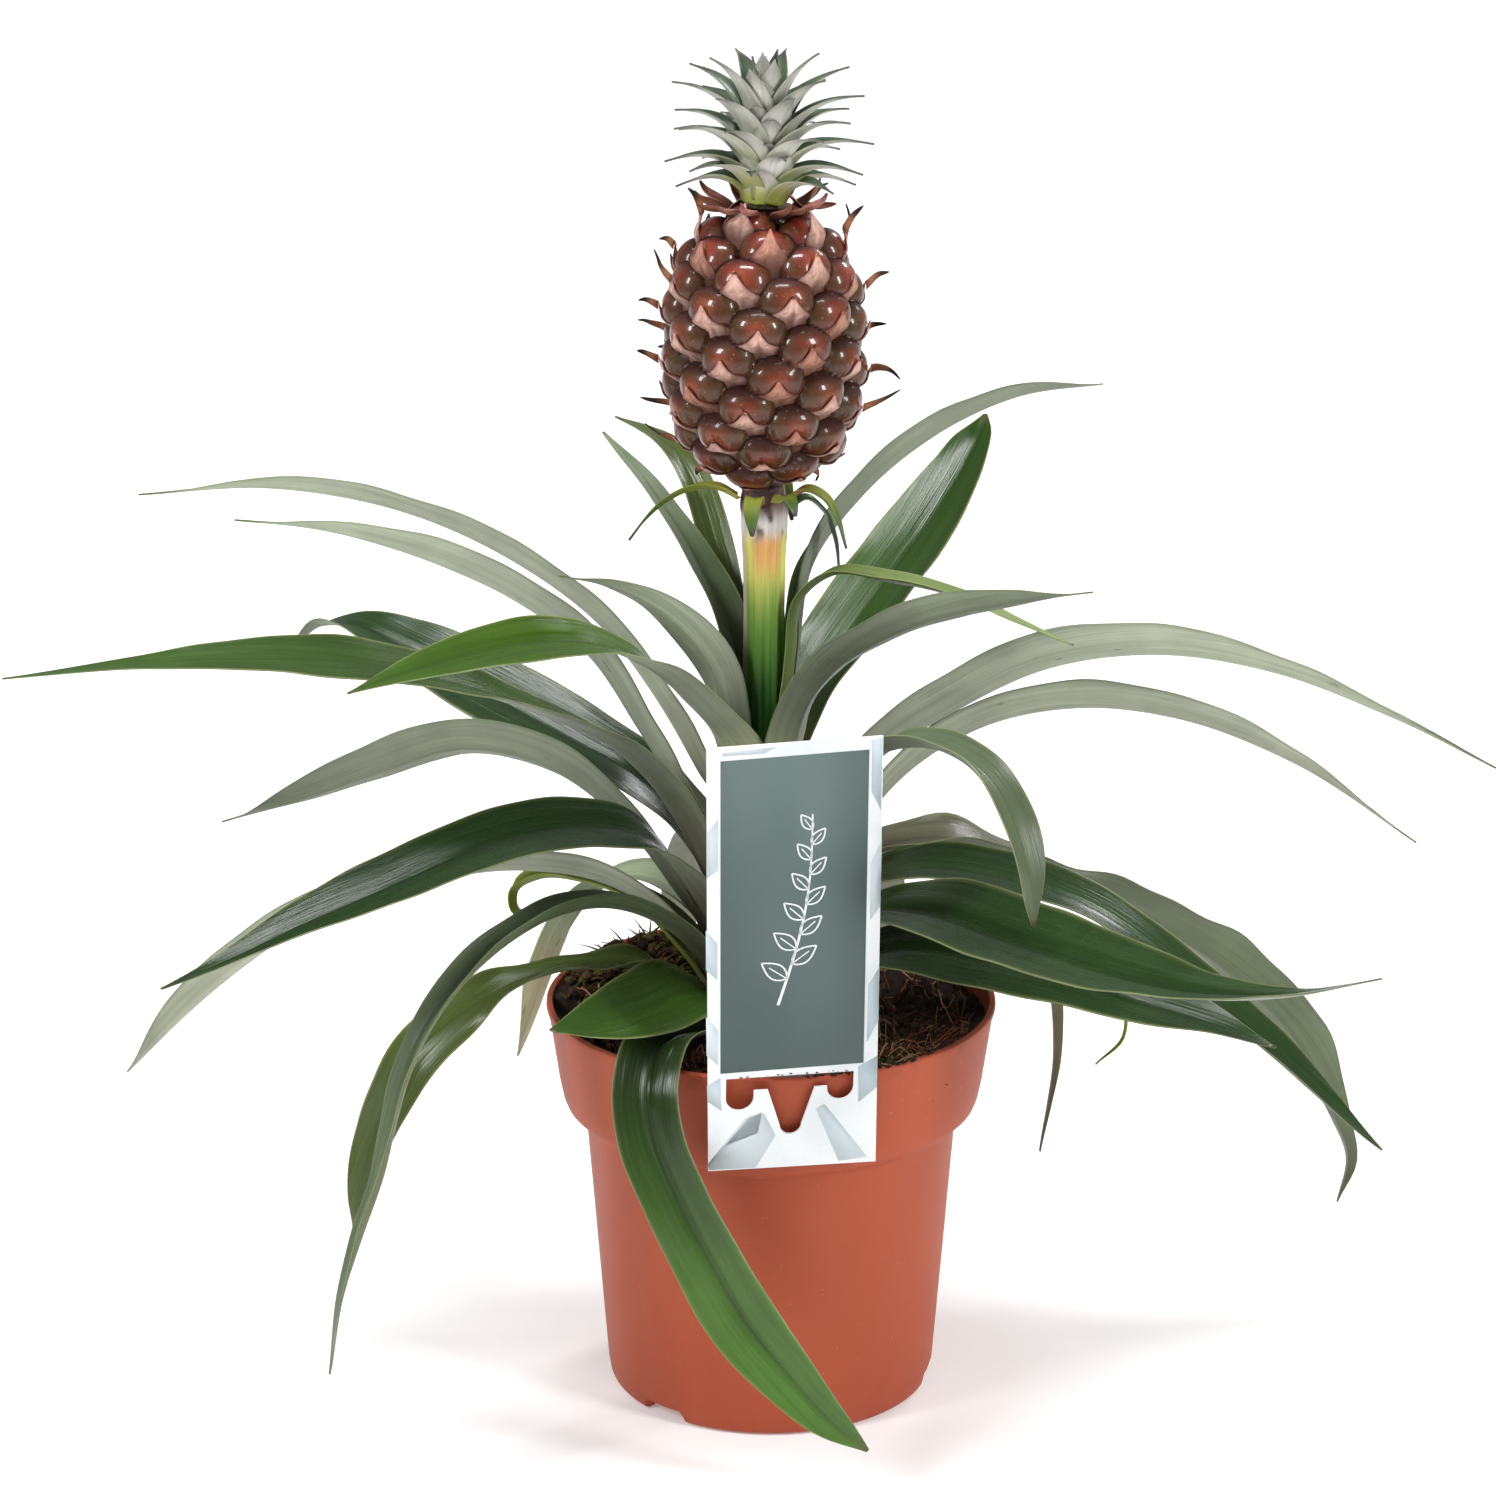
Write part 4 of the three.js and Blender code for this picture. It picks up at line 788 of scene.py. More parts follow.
# Eyes in spiral rows: level goes from -1 at the fruit's foot to 1 at its top
LEVELS = np.minimum(-0.95 + 1.88 * (np.arange(EYE_COUNT) + 0.5) / 68, 0.985)
EYE_TURNS = (np.arange(EYE_COUNT) * GOLDEN + 250) % 360
EYES, EYE_NORMALS = barrel(EYE_TURNS, np.degrees(np.arcsin(np.sign(LEVELS) * np.abs(LEVELS) ** 1.3)))
EYE_RIGHT = unit(np.cross(np.array([0.0, 0.0, 1.0]), EYE_NORMALS))
EYE_UP = np.cross(EYE_NORMALS, EYE_RIGHT)


def own_dome(x, y):
    """Height of one eye's kidney-shaped dome at x across and y up from its middle."""
    reach = (np.abs(x) / 8.0) ** 2.3 + np.abs((y - 0.6) / np.where(y > 0.6, 6.1, 6.3)) ** 2.3
    notch = bell(x, 1.5) * ease(1.6, -1.6, y)
    return 5.2 * np.clip(1 - reach, 0, 1) ** 0.5 - notch - 1.1 * ease(-1.8, -4.6, y) - 3.2


def domes(flat):
    """For points on the barrel: the domes' height, which eye is on top, by how much, and x and y on it."""
    gaps = np.linalg.norm(flat[:, None] - EYES[None], axis=-1)
    near = np.argsort(gaps, axis=1)[:, :5]
    away = flat[:, None] - EYES[near]
    x, y = np.sum(away * EYE_RIGHT[near], axis=-1), np.sum(away * EYE_UP[near], axis=-1)
    swell = own_dome(x, y)
    best, second = np.argsort(-swell, axis=1)[:, :2].T
    rows = np.arange(len(flat))
    margin = swell[rows, best] - swell[rows, second]
    return swell[rows, best], near[rows, best], margin, x[rows, best], y[rows, best]


def fruit_piece():
    """The fruit's skin: a glossy rounded dome for each eye, with thin dark seams between them."""
    turn, tilt = np.meshgrid(np.linspace(0, 360, 340, endpoint=False), np.linspace(-89.5, 89.5, 230))
    flat, normals = (part.reshape(-1, 3) for part in barrel(turn, tilt))
    height, first, margin, x, y = domes(flat)
    fade = (ease(-89, -74, tilt) * ease(89, 76, tilt)).ravel()
    points = flat + normals * (height * fade)[:, None]
    rng = np.random.default_rng(5)
    lift = rng.uniform(0.8, 1.2, EYE_COUNT)[first]
    redness = rng.uniform(0.0, 0.5, EYE_COUNT)[first] + 0.75 * ease(296, 314, flat[:, 2])
    hue = mixed(colour(82, 46, 22), colour(98, 28, 20), np.minimum(redness, 1)) * lift[:, None]
    hue = layered(
        hue,
        ((158, 74, 50), 0.6 * bell(x, 2.3) * bell(y - 0.8, 2.0)),
        ((62, 46, 20), 0.6 * ease(2.4, 5.6, np.abs(x)) * ease(-3, 1, y)),
        ((38, 18, 14), 0.75 * ease(2.8, 5.6, y)),
        ((84, 48, 40), ease(-1.8, -4.2, y)),
        ((18, 7, 6), 0.95 * ease(1.3, 0.2, margin)),
    )
    uvs = np.stack([turn * 0.43, tilt * 0.5], axis=-1) * MM
    mesh_piece("fruit_skin", fruit_look, points, capped_faces(*tilt.shape), hue, uvs, ["fruit"])


def streaked(x, y, pink, seed):
    """Colour of a bract's skin at x across and y from 0 at its foot to 1 at its point."""
    lines = 0.5 + 0.5 * np.sin(x * 8 + 1.5 * np.sin(y * 4 + seed))
    hue = mixed(colour(70, 44, 40), pink, ease(0.12, 0.62, y))
    hue = mixed(hue, colour(92, 54, 42), 0.62 * lines * ease(1.1, 0.3, y))
    blots = 0.5 + 0.5 * np.sin(x * 2.1 + seed * 1.7) * np.sin(y * 11 + seed)
    hue = mixed(hue, colour(104, 66, 46), 0.45 * blots**2 * ease(1.0, 0.5, y))
    return mixed(hue, colour(150, 76, 66), 0.6 * ease(0.75, 1.0, y))


# Half width of a bract's outline at shares of its length, from its hidden foot to its point
BRACT_SHARES = (0, 0.15, 0.32, 0.44, 0.56, 0.7, 0.85, 1)
BRACT_WIDTHS = (3.6, 4.8, 6.2, 6.2, 3.9, 2.5, 1.25, 0.08)


def eye_bract(i, rng):
    """The pale pointed bract over the lower part of one eye: its middle surface and its colours."""
    u, v = np.meshgrid(np.linspace(-1, 1, 13), np.linspace(0, 1, 18))
    size = 0.86 if EYES[i][2] < FRUIT_FOOT else rng.uniform(0.92, 1.08)
    top = float(ease(300, 315, EYES[i][2]))
    size *= 1 - 0.28 * top
    lean = rng.uniform(-1.0, 1.0)
    x = u * np.interp(v, BRACT_SHARES, BRACT_WIDTHS) * size + lean * v**2
    y = np.interp(v, (0, 0.44, 1), (-9.8, -4.3, 1.3 + 3.2 * top))
    y = (y + np.abs(u) ** 1.6 * bell(v - 0.42, 0.2)) * size
    out = np.maximum(own_dome(x, y), -2.2 + 0.10 * y) + 0.45 + (0.4 + 1.6 * top) * v**3 - 0.3 * np.abs(u) ** 3
    out = out + 0.35 * bell(u, 0.2) * v * (1 - v) * 4 + 0.10 * np.sin(u * 9 + i) * (1 - v)
    out = out - (x**2 + y**2) / 52
    grid = EYES[i] + EYE_RIGHT[i] * x[..., None] + EYE_UP[i] * y[..., None] + EYE_NORMALS[i] * out[..., None]
    pink = colour(228, 184, 168) if rng.random() < 0.65 else colour(190, 138, 118)
    hue = streaked(x, v, pink, i)
    if rng.random() < 0.35:
        hue = mixed(hue, colour(84, 48, 42), 0.8 * bell(u - 0.1, 0.09) * ease(0.95, 0.6, v))
    return grid, mixed(hue, colour(72, 34, 28), 0.95 * np.abs(u) ** 4)


def withered_end(i, root, far, rng):
    """The dry curled end of one bract: long at the fruit's sides (far), short where it faces the front."""
    length = rng.uniform(5.5, 9.5) if far else rng.uniform(1.4, 2.8)
    if EYES[i][2] < FRUIT_FOOT + 4:
        length *= 0.6
    bend, drop, twist = rng.uniform(-0.7, 0.7), rng.uniform(-1.0, 0.7), rng.uniform(-1.6, 1.6)
    normal, right, up = EYE_NORMALS[i], EYE_RIGHT[i], EYE_UP[i]
    rows = []
    for step in np.linspace(0, 1, 10):
        move = normal * ((0.8 if far else 0.3) * step) + up * (0.5 * step + drop * step**2 * 0.7)
        middle = root + (move + right * (bend * step**2 + 0.08 * math.sin(step * 7 + i))) * length
        side = (up if far else right) * math.cos(twist * step) + right * math.sin(twist * step)
        wide = (1.0 if far else 0.5) * (1 - step) ** 0.6 + 0.12
        rows.append([middle - side * wide, middle + normal * 0.2 * wide, middle + side * wide])
    return np.array(rows)


def fruit_bracts():
    """The bract of each eye, some with withered ends, and a ring of curled bracts round the crown's foot."""
    bracts, ends = Heap(), Heap()
    rng = random.Random(11)
    for i in range(EYE_COUNT):
        grid, hue = eye_bract(i, rng)
        bracts.add(*slab(grid, 0.32), on_both(hue))
        far = math.cos(math.radians(EYE_TURNS[i] - 270)) < 0.40
        if rng.random() <= (0.8 if far else 0.5):
            end = withered_end(i, grid[-2, 6], far, rng)
            hue = mixed(colour(138, 92, 66), colour(46, 36, 28), ease(0.2, 0.75, np.linspace(0, 1, 10)))
            ends.add(*slab(end, 0.3), on_both(np.repeat(hue, 3, axis=0)))
    u = np.linspace(-1, 1, 9)
    for i in range(13):
        azimuth = i * 27.7 + 255 + rng.uniform(-9, 9)
        tall, side, roll = rng.uniform(0.35, 1.2), rng.uniform(-2.4, 2.4), rng.uniform(-30, 30)
        rows = [
            (8.2, 317.6, 4.0, 0, 10), (11.2, 319.0, 5.2, 0, 22),
            (14.2, 318.6 + 1.8 * tall, 4.2, 0.5 * roll, 30, 0.4 * side),
            (16.8, 318.4 + 4.2 * tall, 2.2, roll, 34, 0.8 * side),
            (17.9, 318.2 + 6.6 * tall, 0.6, roll, 20, 1.4 * side),
        ]
        grid, share, out, _ = blade_grid(azimuth, rows, 16, u, ripple=0.3, seed=i * 2.1)
        hue = streaked(out, share, colour(132, 84, 64) if i % 3 else colour(188, 128, 120), i)
        bracts.add(*slab(grid, 0.35), on_both(mixed(hue, colour(88, 56, 40), 0.8 * ease(0.7, 1.0, share))))
    bracts.piece("fruit_bracts", "fruit", bract_look)
    ends.piece("fruit_dry_points", "fruit", dry_look)


fruit_piece()
fruit_bracts()


# Crown
def crown_stations(level, front, rng):
    """Stations of one crown leaf. level is 0 at the foot, 1 at the top. front is 1 for one facing front."""
    root = np.array([5 - 3.4 * level, 1.0 + 16.5 * level])
    tip_height = 1.2 + 38.4 * min(1, level / 0.88) ** 0.95 - rng.uniform(0, 1.6)
    spread = (28.2 - 0.012 * (tip_height - 14) ** 2) * rng.uniform(0.86, 1.0) * (1 - 0.72 * front**2)
    tip_height = min(tip_height + 9 * front * (1 - level), CROWN_TOP)
    tip = np.array([spread * (1 - 0.9 * float(ease(0.84, 1.0, level))), tip_height])
    knee = root + (tip - root) * (0.30 - 0.04 * level, 1 - 0.25 * level)
    knee[1] += 7 * (1 - level) * (1 - 0.5 * front)
    widest = 13.8 - 1.8 * level
    sway = rng.uniform(-1.5, 1.5)
    rows = []
    for t in np.linspace(0, 1, 12):
        reach, height = (1 - t) ** 2 * root + 2 * t * (1 - t) * knee + t**2 * tip
        width = widest * (0.80 + 0.20 * min(1, t * 4)) * (1 - t**1.9) ** 1.3
        fold = (8 + 28 * (1 - t)) * (1 - 0.4 * front)
        rows.append([reach, CROWN_BOTTOM + height, max(0.2, width), 0, fold, sway * t**2])
    return rows


def crown_piece():
    """Leaves wound up a short core, each along a curve from root to tip, silvery outside and green inside."""
    heap = Heap()
    rng = random.Random(3)
    u = np.linspace(-1, 1, 11)
    for i in range(CROWN_LEAVES):
        level, azimuth = i / (CROWN_LEAVES - 1), i * GOLDEN + CROWN_START
        front = max(0.0, -math.sin(math.radians(azimuth)))
        rows = crown_stations(level, front, rng)
        grid, share, _, uvs = blade_grid(
            azimuth, rows, 30, u, ripple=0.08, pleat=0.05, seed=i * 1.3, uv_start=i * 15
        )
        inner = colour(62, 84, 58) * rng.uniform(0.8, 1.15)
        outer = colour(216, 215, 206) * rng.uniform(0.85, 1.05)
        tip_share = ease(0.66, 0.9, share)
        tops = layered(inner, ((110, 122, 100), 0.3 * ease(0.5, 0.9, share)), ((56, 62, 52), tip_share))
        unders = layered(
            outer,
            ((170, 182, 70), (1 - level) ** 1.2 * ease(0.6, 0.1, share)),
            ((120, 112, 92), 0.6 * np.abs(u) ** 4),
            ((132, 130, 114), 0.2 * (0.5 + 0.5 * np.sin(share * 9 + i))),
            ((70, 76, 66), (0.9 - 0.5 * front) * tip_share),
        )
        heap.add(*slab(grid, 0.2 + 0.35 * (1 - u**2)), on_both(tops, unders), uvs)
    core, faces = lathe([[0, CROWN_BOTTOM], [3.5, 319.6], [4.5, 322], [4.2, 330], [3, 336], [0, 340]], 24)
    heap.add(core + np.array([PLANT_X, 0, 0]), faces, colour(120, 128, 84))
    heap.piece("crown_leaves", "crown", crown_look, ["crown"])


crown_piece()


# Pot: the outer profile as radius and height, from the foot up
WALL = 1.3
OUTSIDE = [
    [42.4, 0], [43.4, 0.5], [43.9, 1.6], [44.4, 5], [49.8, 76.2], [50.1, 76.9], [50.8, 77.4], [53.6, 78.8],
    [55.1, 80.2], [55.8, 82], [56.8, 87], [59.2, 104], [60, 106.6],
]
POT_FLOOR = 4.2
NOTCH_TURNS = (109, 229, 349)  # compass angles of the notches in the foot


def pot_piece():
    """The pot's shell, with a recess under its base and three notches in its foot."""
    inside = [
        [radius - WALL, max(height, POT_FLOOR) + (1 if 76 < height < 84 else 0)]
        for radius, height in OUTSIDE[3:]
    ]
    profile = [[0, 0], [13.6, 0], [14, 0.3], [15, 2.6], [39.4, 2.6], [40.2, 0.3], [40.6, 0], *OUTSIDE]
    profile += [[59.95, 107.6], [59.6, 108], [58.6, 108], [58.3, 107.7], *inside[::-1]]
    profile += [[40, POT_FLOOR], [0, POT_FLOOR]]
    points, faces = lathe(profile, 192)
    for point in points:
        turn, radius = math.degrees(math.atan2(point[1], point[0])), math.hypot(point[0], point[1])
        away = min(abs((turn - middle + 180) % 360 - 180) for middle in NOTCH_TURNS)
        if 39 < radius < 46 and point[2] < 3.4:
            point[2] += (3.3 - point[2]) * float(ease(9.4, 7.6, away)) * (1 if radius > 40 else 0.6)
    mesh_piece("pot_shell", pot_look, points, faces, replaced=["pot"], sharp=38)


pot_piece()


# Soil, with the tones of its small loose bodies
SHOOT_TURN = 140  # the moss shoots' compass angle
CRUMB_TONES = [(52, 32, 22), (70, 44, 30), (38, 24, 18), (92, 60, 40)]
FIBRE_TONES = [(122, 68, 48), (96, 54, 38), (74, 42, 30), (60, 36, 26), (104, 62, 42), (168, 132, 100)]
LUMP_TONES = [(70, 62, 30), (58, 38, 22), (84, 76, 36), (44, 28, 16), (96, 64, 36)]
SHOOT_TONES = [(96, 92, 40), (84, 60, 34), (70, 76, 36), (112, 78, 46), (60, 40, 26)]
GREEN_TONES = [(84, 104, 44), (64, 84, 36), (96, 92, 50)]


def soil_height(x, y):
    """The peat's surface without its roughness: gentle bumps, and banks at the back and under the moss."""
    bumps = math.sin(x * 0.31 + 1.3) * math.cos(y * 0.27 + 0.4) + 0.6 * math.sin(x * 0.11 - y * 0.19)
    radius, turn = math.hypot(x, y), math.degrees(math.atan2(y, x))
    bank = 7 * ease(26, 52, radius) * ease(-34, 6, y)
    bank = bank + 5.5 * ease(38, 52, radius) * ease(75, 30, abs(turn - MOSS_TURN))
    return SOIL_HEIGHT + 1.4 * bumps + float(bank)


def rough_soil(x, y):
    spot = Vector((x * 0.16, y * 0.16, 0.3))
    fine = noise.fractal(spot * 3.2, 0.7, 2.2, 4)
    wide = noise.noise(spot)
    edge = float(ease(50, 56, math.hypot(x, y)))
    return soil_height(x, y) + 2.2 * fine + 2.4 * wide + 1.6 * edge * (0.6 + noise.noise(spot * 1.7))


def soil_piece():
    """The peat: a plain body inside the pot with a fine rough top."""
    radii = [*np.linspace(1, 54, 92), 55, 55.8, 56.3]
    side = [[56.3, 92], [55.9, 88], [53.6, 83.5], [48, 78], [47.2, 70], [42.3, 6]]
    surface = [[radius, SOIL_HEIGHT] for radius in radii[::-1]]
    points, faces = lathe([[0, 4.6], [39.6, 4.6], *side[::-1], *surface, [0, SOIL_HEIGHT]], 260)
    hues = np.tile(colour(60, 36, 24), (len(points), 1))
    for index, (x, y, z) in enumerate(points):
        if z > SOIL_HEIGHT - 1:
            top = rough_soil(x, y)
            stretch = 1 + 0.0025 * max(0, top - SOIL_HEIGHT) * float(ease(50, 56, math.hypot(x, y)))
            points[index] = (x * stretch, y * stretch, min(top, RIM_HEIGHT - 1))
            tone = 0.5 + 0.5 * noise.noise(Vector((x * 0.3, y * 0.3, 2)))
            hues[index] = mixed(colour(20, 11, 7), colour(58, 34, 20), tone)
    mesh_piece("peat", soil_look, points, faces, hues, points[:, :2] * MM, ["soil"])


def crumb(heap, rng, x, y, z, size, tone):
    """A small angular lump: three rings of six points between two ends."""
    turns = np.arange(6) * math.pi / 3 + rng.uniform(0, 1)
    points = [(x, y, z - size * 0.6)]
    for radius, rise in [(0.55, -0.45), (1.0, 0.0), (0.6, 0.5)]:
        for turn in turns:
            wobble = size * radius * rng.uniform(0.7, 1.15)
            height = z + size * rise * rng.uniform(0.7, 1.1)
            points.append((x + wobble * math.cos(turn), y + wobble * math.sin(turn), height))
    points.append((x, y, z + size * 0.7))
    faces = [(0, 1 + (k + 1) % 6, 1 + k) for k in range(6)]
    faces += [tuple(index + 1 for index in face) for face in ring_faces(3, 6)]
    faces += [(19, 13 + k, 13 + (k + 1) % 6) for k in range(6)]
    heap.add(points, faces, colour(*tone))


def at_turn(turn, radius):
    return radius * math.cos(turn), radius * math.sin(turn)


def fibre(threads, rng):
    """One peat fibre lying on the surface. Half of them are at the front right."""
    turn = math.radians(rng.gauss(312, 24)) if rng.random() < 0.5 else rng.uniform(0, 2 * math.pi)
    x, y = at_turn(turn, rng.uniform(20, 53))
    heading, length = rng.uniform(0, 2 * math.pi), rng.uniform(5, 20)
    arch, curl = rng.uniform(0.6, 4.5), rng.uniform(-1.8, 1.8)
    path = []
    for step in np.linspace(0, 1, 8):
        x += length / 7 * math.cos(heading)
        y += length / 7 * math.sin(heading)
        heading += curl / 7
        if math.hypot(x, y) > SOIL_RADIUS:
            break
        path.append((x, y, rough_soil(x, y) + 0.2 + arch * math.sin(math.pi * step)))
    if len(path) >= 4:
        tone = rng.choice(FIBRE_TONES)
        width = rng.uniform(0.12, 0.38)
        threads.add(*closed_tube(path, np.linspace(width, width * 0.5, len(path))), colour(*tone))


def moss_shoot(threads, rng):
    """One shoot of moss: brown and green at the back left, with a few greener ones at the right."""
    right = rng.random() < 0.2
    turn = rng.gauss(318, 12) if right else rng.gauss(SHOOT_TURN, 24)
    x, y = at_turn(math.radians(turn), rng.uniform(34, 52) if right else rng.uniform(38, 55))
    base = rough_soil(x, y) - 0.3
    tall = rng.uniform(1.5, 4.5 if right else 5.5)
    if not right:
        tall *= float(ease(60, 20, abs(turn - SHOOT_TURN)))
    lean_x, lean_y = rng.uniform(-1.6, 1.6), rng.uniform(-1.6, 1.6)
    path = [
        (x + lean_x * tall * step**1.5, y + lean_y * tall * step**1.5, base + tall * step * (1 - 0.25 * step))
        for step in np.linspace(0, 1, 5)
    ]
    tone = rng.choice(SHOOT_TONES)
    if right:
        tone = rng.choice(GREEN_TONES)
    threads.add(*closed_tube(path, np.linspace(0.55, 0.12, 5)), colour(*tone))


def litter():
    """Crumbs, fibres and moss on the peat, and a few crumbs caught on the rim right of the label."""
    rng = random.Random(21)
    lumps, threads = Heap(), Heap()
    for _ in range(PEAT_CRUMBS):
        x, y = at_turn(rng.uniform(0, 2 * math.pi), SOIL_RADIUS * math.sqrt(rng.uniform(0.07, 1)))
        size = rng.uniform(0.5, 1.7)
        tone = rng.choice(CRUMB_TONES)
        crumb(lumps, rng, x, y, rough_soil(x, y) + size * 0.2, size, tone)
    for _ in range(RIM_CRUMBS):
        x, y = at_turn(math.radians(rng.gauss(293, 9)), rng.uniform(58.6, 60.0))
        size = rng.uniform(0.35, 0.9)
        crumb(lumps, rng, x, y, RIM_HEIGHT + size * 0.3, size, (46, 28, 20))
    for _ in range(PEAT_FIBRES):
        fibre(threads, rng)
    for _ in range(MOSS_LUMPS):
        x, y = at_turn(math.radians(rng.gauss(MOSS_TURN, 24)), rng.uniform(44, 56))
        size = rng.uniform(0.8, 2.2)
        tone = rng.choice(LUMP_TONES)
        crumb(lumps, rng, x, y, rough_soil(x, y) + size * rng.uniform(0.2, 1.0), size, tone)
    for _ in range(MOSS_SHOOTS):
        moss_shoot(threads, rng)
    lumps.piece("peat_crumbs", "soil", soil_look)
    threads.piece("peat_fibres", "soil", dry_look)


soil_piece()
litter()


# Label
LABEL_TURN, LABEL_LEAN = math.radians(10), math.radians(6)
LABEL_PLACE = np.array([5, -61.2, RIM_HEIGHT])
LABEL_RIGHT = np.array([math.cos(LABEL_TURN), math.sin(LABEL_TURN), 0])
LABEL_UP = math.sin(LABEL_LEAN) * np.array([math.sin(LABEL_TURN), -math.cos(LABEL_TURN), 0])
LABEL_UP[2] = math.cos(LABEL_LEAN)
LABEL_OUT = np.cross(LABEL_RIGHT, LABEL_UP)
INK = (226, 232, 230)
PANEL = [(-18.5, 3.7), (18.2, 4.2), (17.1, 90.4), (-19.8, 89.3)]
FACETS = [
    ([(17.6, 92.9), (20.3, 93.2), (20.5, 74), (18, 79)], (176, 190, 196)),
    ([(-23, 70), (-20.2, 74), (-20, 60), (-22.8, 58)], (196, 206, 210)),
    ([(-22.8, 44), (-19.8, 40), (-19.7, 30), (-22.6, 33)], (186, 198, 204)),
    ([(18.4, 60), (21, 66), (21.2, 48), (18.6, 44)], (192, 203, 208)),
    ([(18.7, 26), (21.5, 31), (21.7, 16), (18.9, 10)], (178, 192, 198)),
    ([(-22.4, 20), (-19.3, 16), (-19.1, 6), (-22.1, 9)], (200, 210, 214)),
    ([(-21.9, 0.5), (-18.5, 2.6), (-18, -7), (-21.7, -4)], (186, 198, 204)),
    ([(16.8, 3.2), (21.8, 6), (21.9, -3), (17.2, -7)], (176, 190, 196)),
    ([(-21.4, -22), (-12, -9.5), (-7, -8.5), (-4, -15), (-9, -23.9), (-21, -23.6)], (196, 206, 210)),
    ([(-17, -17), (-11, -9.2), (-7.6, -8), (-8.6, -14)], (172, 187, 193)),
    ([(6.2, -8), (8.4, -6.8), (20, -23), (12.5, -23.6)], (190, 202, 207)),
    ([(-19.4, 91.4), (-6, 92.4), (-9, 90.8), (-19.2, 90.6)], (188, 200, 205)),
]


def on_card(u, v, lift):
    """The point u to the right and v up on the card's face, lifted off it."""
    return LABEL_PLACE + LABEL_RIGHT * u + LABEL_UP * v + LABEL_OUT * (CARD_THICKNESS + lift)


def printed(heap, outline, lift, tone):
    """A flat printed shape on the card's face, as a thin closed body."""
    count = len(outline)
    points = [on_card(u, v, height) for height in (lift, lift - 0.02) for u, v in outline]
    faces = [tuple(range(count)), tuple(range(2 * count - 1, count - 1, -1))]
    faces += [(k, k + count, (k + 1) % count + count, (k + 1) % count) for k in range(count)]
    heap.add(points, faces, colour(*tone))


def stroke(heap, points, widths):
    """A line through the points, printed in pieces."""
    points = np.array(points)
    way = np.gradient(points, axis=0)
    half = np.broadcast_to(widths, len(points))[:, None] / 2
    normal = unit(np.stack([-way[:, 1], way[:, 0]], axis=-1)) * half
    left, right = points - normal, points + normal
    for a in range(len(points) - 1):
        printed(heap, [left[a], left[a + 1], right[a + 1], right[a]], 0.08, INK)


def spine(t):
    """The sprig's stem on the card, from 0 at its foot to 1 at its tip."""
    return np.array([-4.2 + 7.5 * t + 2.6 * math.sin(t * 3.1), 22 + 52 * t])


def print_piece():
    """A grey-green panel with a plain leafy sprig, and pale facets on the white border."""
    heap = Heap()
    for outline, tone in FACETS:
        printed(heap, outline, 0.03, tone)
    printed(heap, PANEL, 0.05, (79, 96, 94))
    stroke(heap, [spine(t) for t in np.linspace(0, 1, 25)], np.linspace(0.75, 0.4, 25))
    for number in range(11):
        t = 0.14 + 0.078 * number
        root, size = spine(t), 8.6 * (1 - 0.45 * t)
        tilt = math.radians(90 - (1 if number % 2 else -1) * (58 - 24 * t))
        way = np.array([math.cos(tilt), math.sin(tilt)])
        across = np.array([-way[1], way[0]])
        side = np.linspace(0, 1, 9)
        bulge = 0.26 * size * np.sin(np.pi * side**0.8)
        for sign in (1, -1):
            stroke(heap, [root + way * size * s + across * sign * b for s, b in zip(side, bulge)], 0.42)
        stroke(heap, [root + way * size * s for s in (0, 0.35, 0.7)], 0.3)
    heap.piece("label_print", "label", print_look)


def dress_label():
    """The card keeps its CAD shape and gets its paper. The print and a few crumbs lie on it."""
    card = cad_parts["label"]
    card.data.materials.clear()
    card.data.materials.append(card_look)
    print_piece()
    rng = random.Random(8)
    heap = Heap()
    for _ in range(LABEL_CRUMBS):
        x, y, z = on_card(rng.uniform(-15, 15), 2.0 + rng.uniform(-0.1, 0.25), -0.3)
        size = rng.uniform(0.25, 0.7)
        tone = rng.choice([(120, 78, 54), (150, 104, 76), (168, 136, 104)])
        crumb(heap, rng, x, y, z + size * 0.3, size, tone)
    heap.piece("label_crumbs", "soil", soil_look)


dress_label()


# Floor, lights and camera, in metres
FLOOR_HALF = 8.0
FLOOR_HEIGHT = -0.0003
WORLD_STRENGTH = 0.34
CAMERA_PLACE = (-0.0056, -1.0, 0.487)
CAMERA_DIP = 0.301  # radians below level
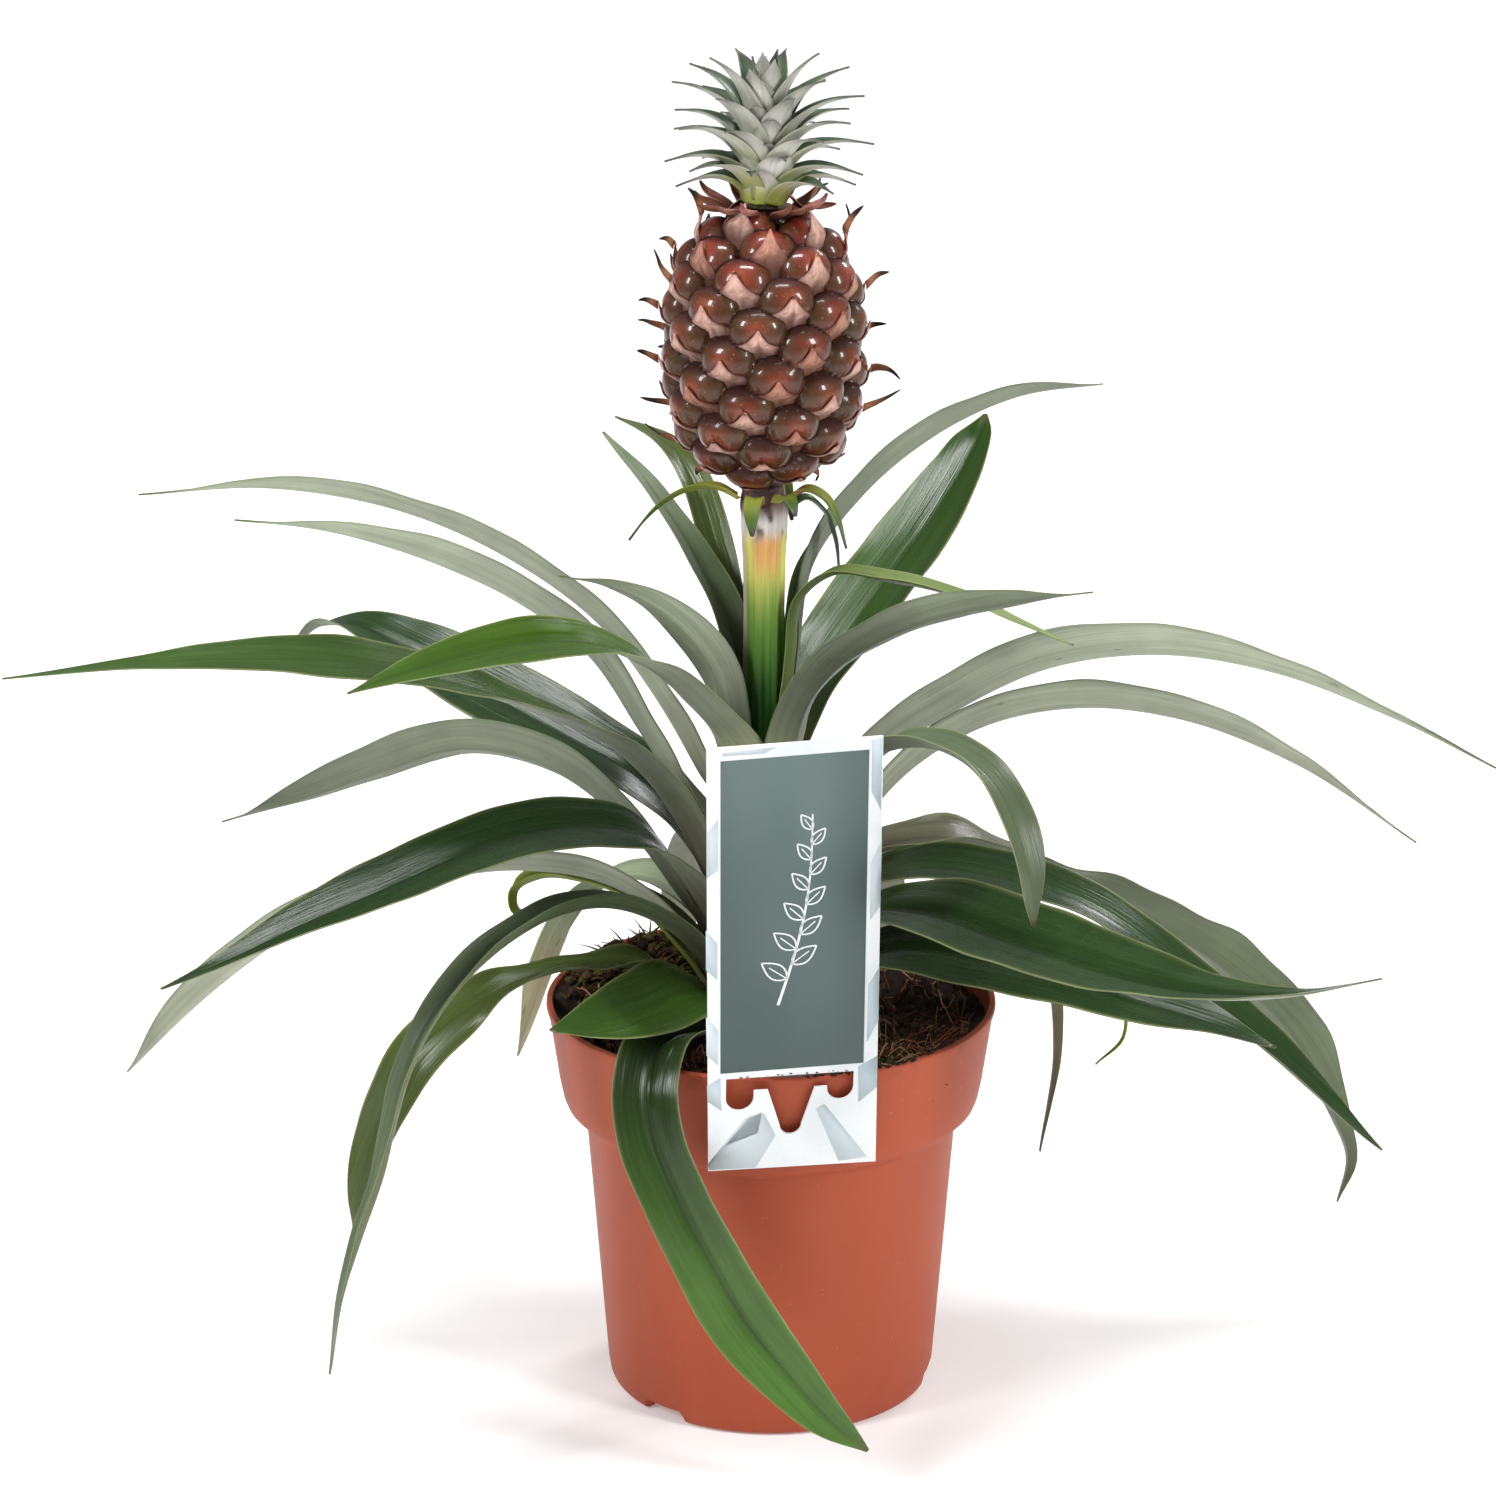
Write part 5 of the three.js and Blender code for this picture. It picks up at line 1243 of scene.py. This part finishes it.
# Lamps: name, place, the point it faces, width and length, power, and spread in degrees
LAMPS = [
    ("key", (-0.95, -0.65, 0.95), (0, 0, 0.2), (0.25, 0.5), 11, 180),
    ("fill", (1.0, -0.7, 0.8), (0, 0, 0.2), (0.25, 0.5), 10.5, 180),
    ("top", (0.0, -0.05, 1.4), (0, 0, 0.2), (0.6, 0.25), 12, 180),
    ("back", (0.75, 1.1, 1.0), (0, 0, 0.16), (0.4, 0.16), 5, 180),
    ("far_floor", (0, 4.3, 2.2), (0, 4.3, 0), (9, 7.4), 130, 26),
]


def stage():
    """A pale floor and a white world, with five lamps."""
    mesh = bpy.data.meshes.new("floor")
    corners = [(x * FLOOR_HALF, y * FLOOR_HALF, 0) for x, y in ((-1, -1), (1, -1), (1, 1), (-1, 1))]
    mesh.from_pydata(corners, [], [(0, 1, 2, 3)])
    n = Nodes("floor")
    n.constant(Base_Color=(0.86, 0.86, 0.86, 1), Roughness=0.9, Specular_IOR_Level=0.1)
    n.constant(Emission_Color=(1, 1, 1, 1), Emission_Strength=0.22)
    mesh.materials.append(n.material)
    floor = placed("floor", mesh)
    floor.location.z = FLOOR_HEIGHT
    world = bpy.data.worlds.new("studio")
    world.use_nodes = True
    background = world.node_tree.nodes["Background"]
    background.inputs["Color"].default_value = (1, 1, 1, 1)
    background.inputs["Strength"].default_value = WORLD_STRENGTH
    bpy.context.scene.world = world
    for name, place, aim, size, power, spread in LAMPS:
        data = bpy.data.lights.new(name, "AREA")
        data.shape = "RECTANGLE"
        data.size, data.size_y = size
        data.energy = power
        data.spread = math.radians(spread)
        light = placed(name, data)
        light.location = place
        light.rotation_euler = (Vector(aim) - Vector(place)).to_track_quat("-Z", "Y").to_euler()


def camera():
    data = bpy.data.cameras.new("camera")
    data.lens = 95.83
    data.sensor_width = 36
    data.clip_start, data.clip_end = 0.05, 20
    eye = placed("camera", data)
    eye.location = CAMERA_PLACE
    eye.rotation_euler = (math.pi / 2 - CAMERA_DIP, 0, 0)
    bpy.context.scene.camera = eye


stage()
camera()
bpy.context.scene.view_settings.view_transform = "Standard"
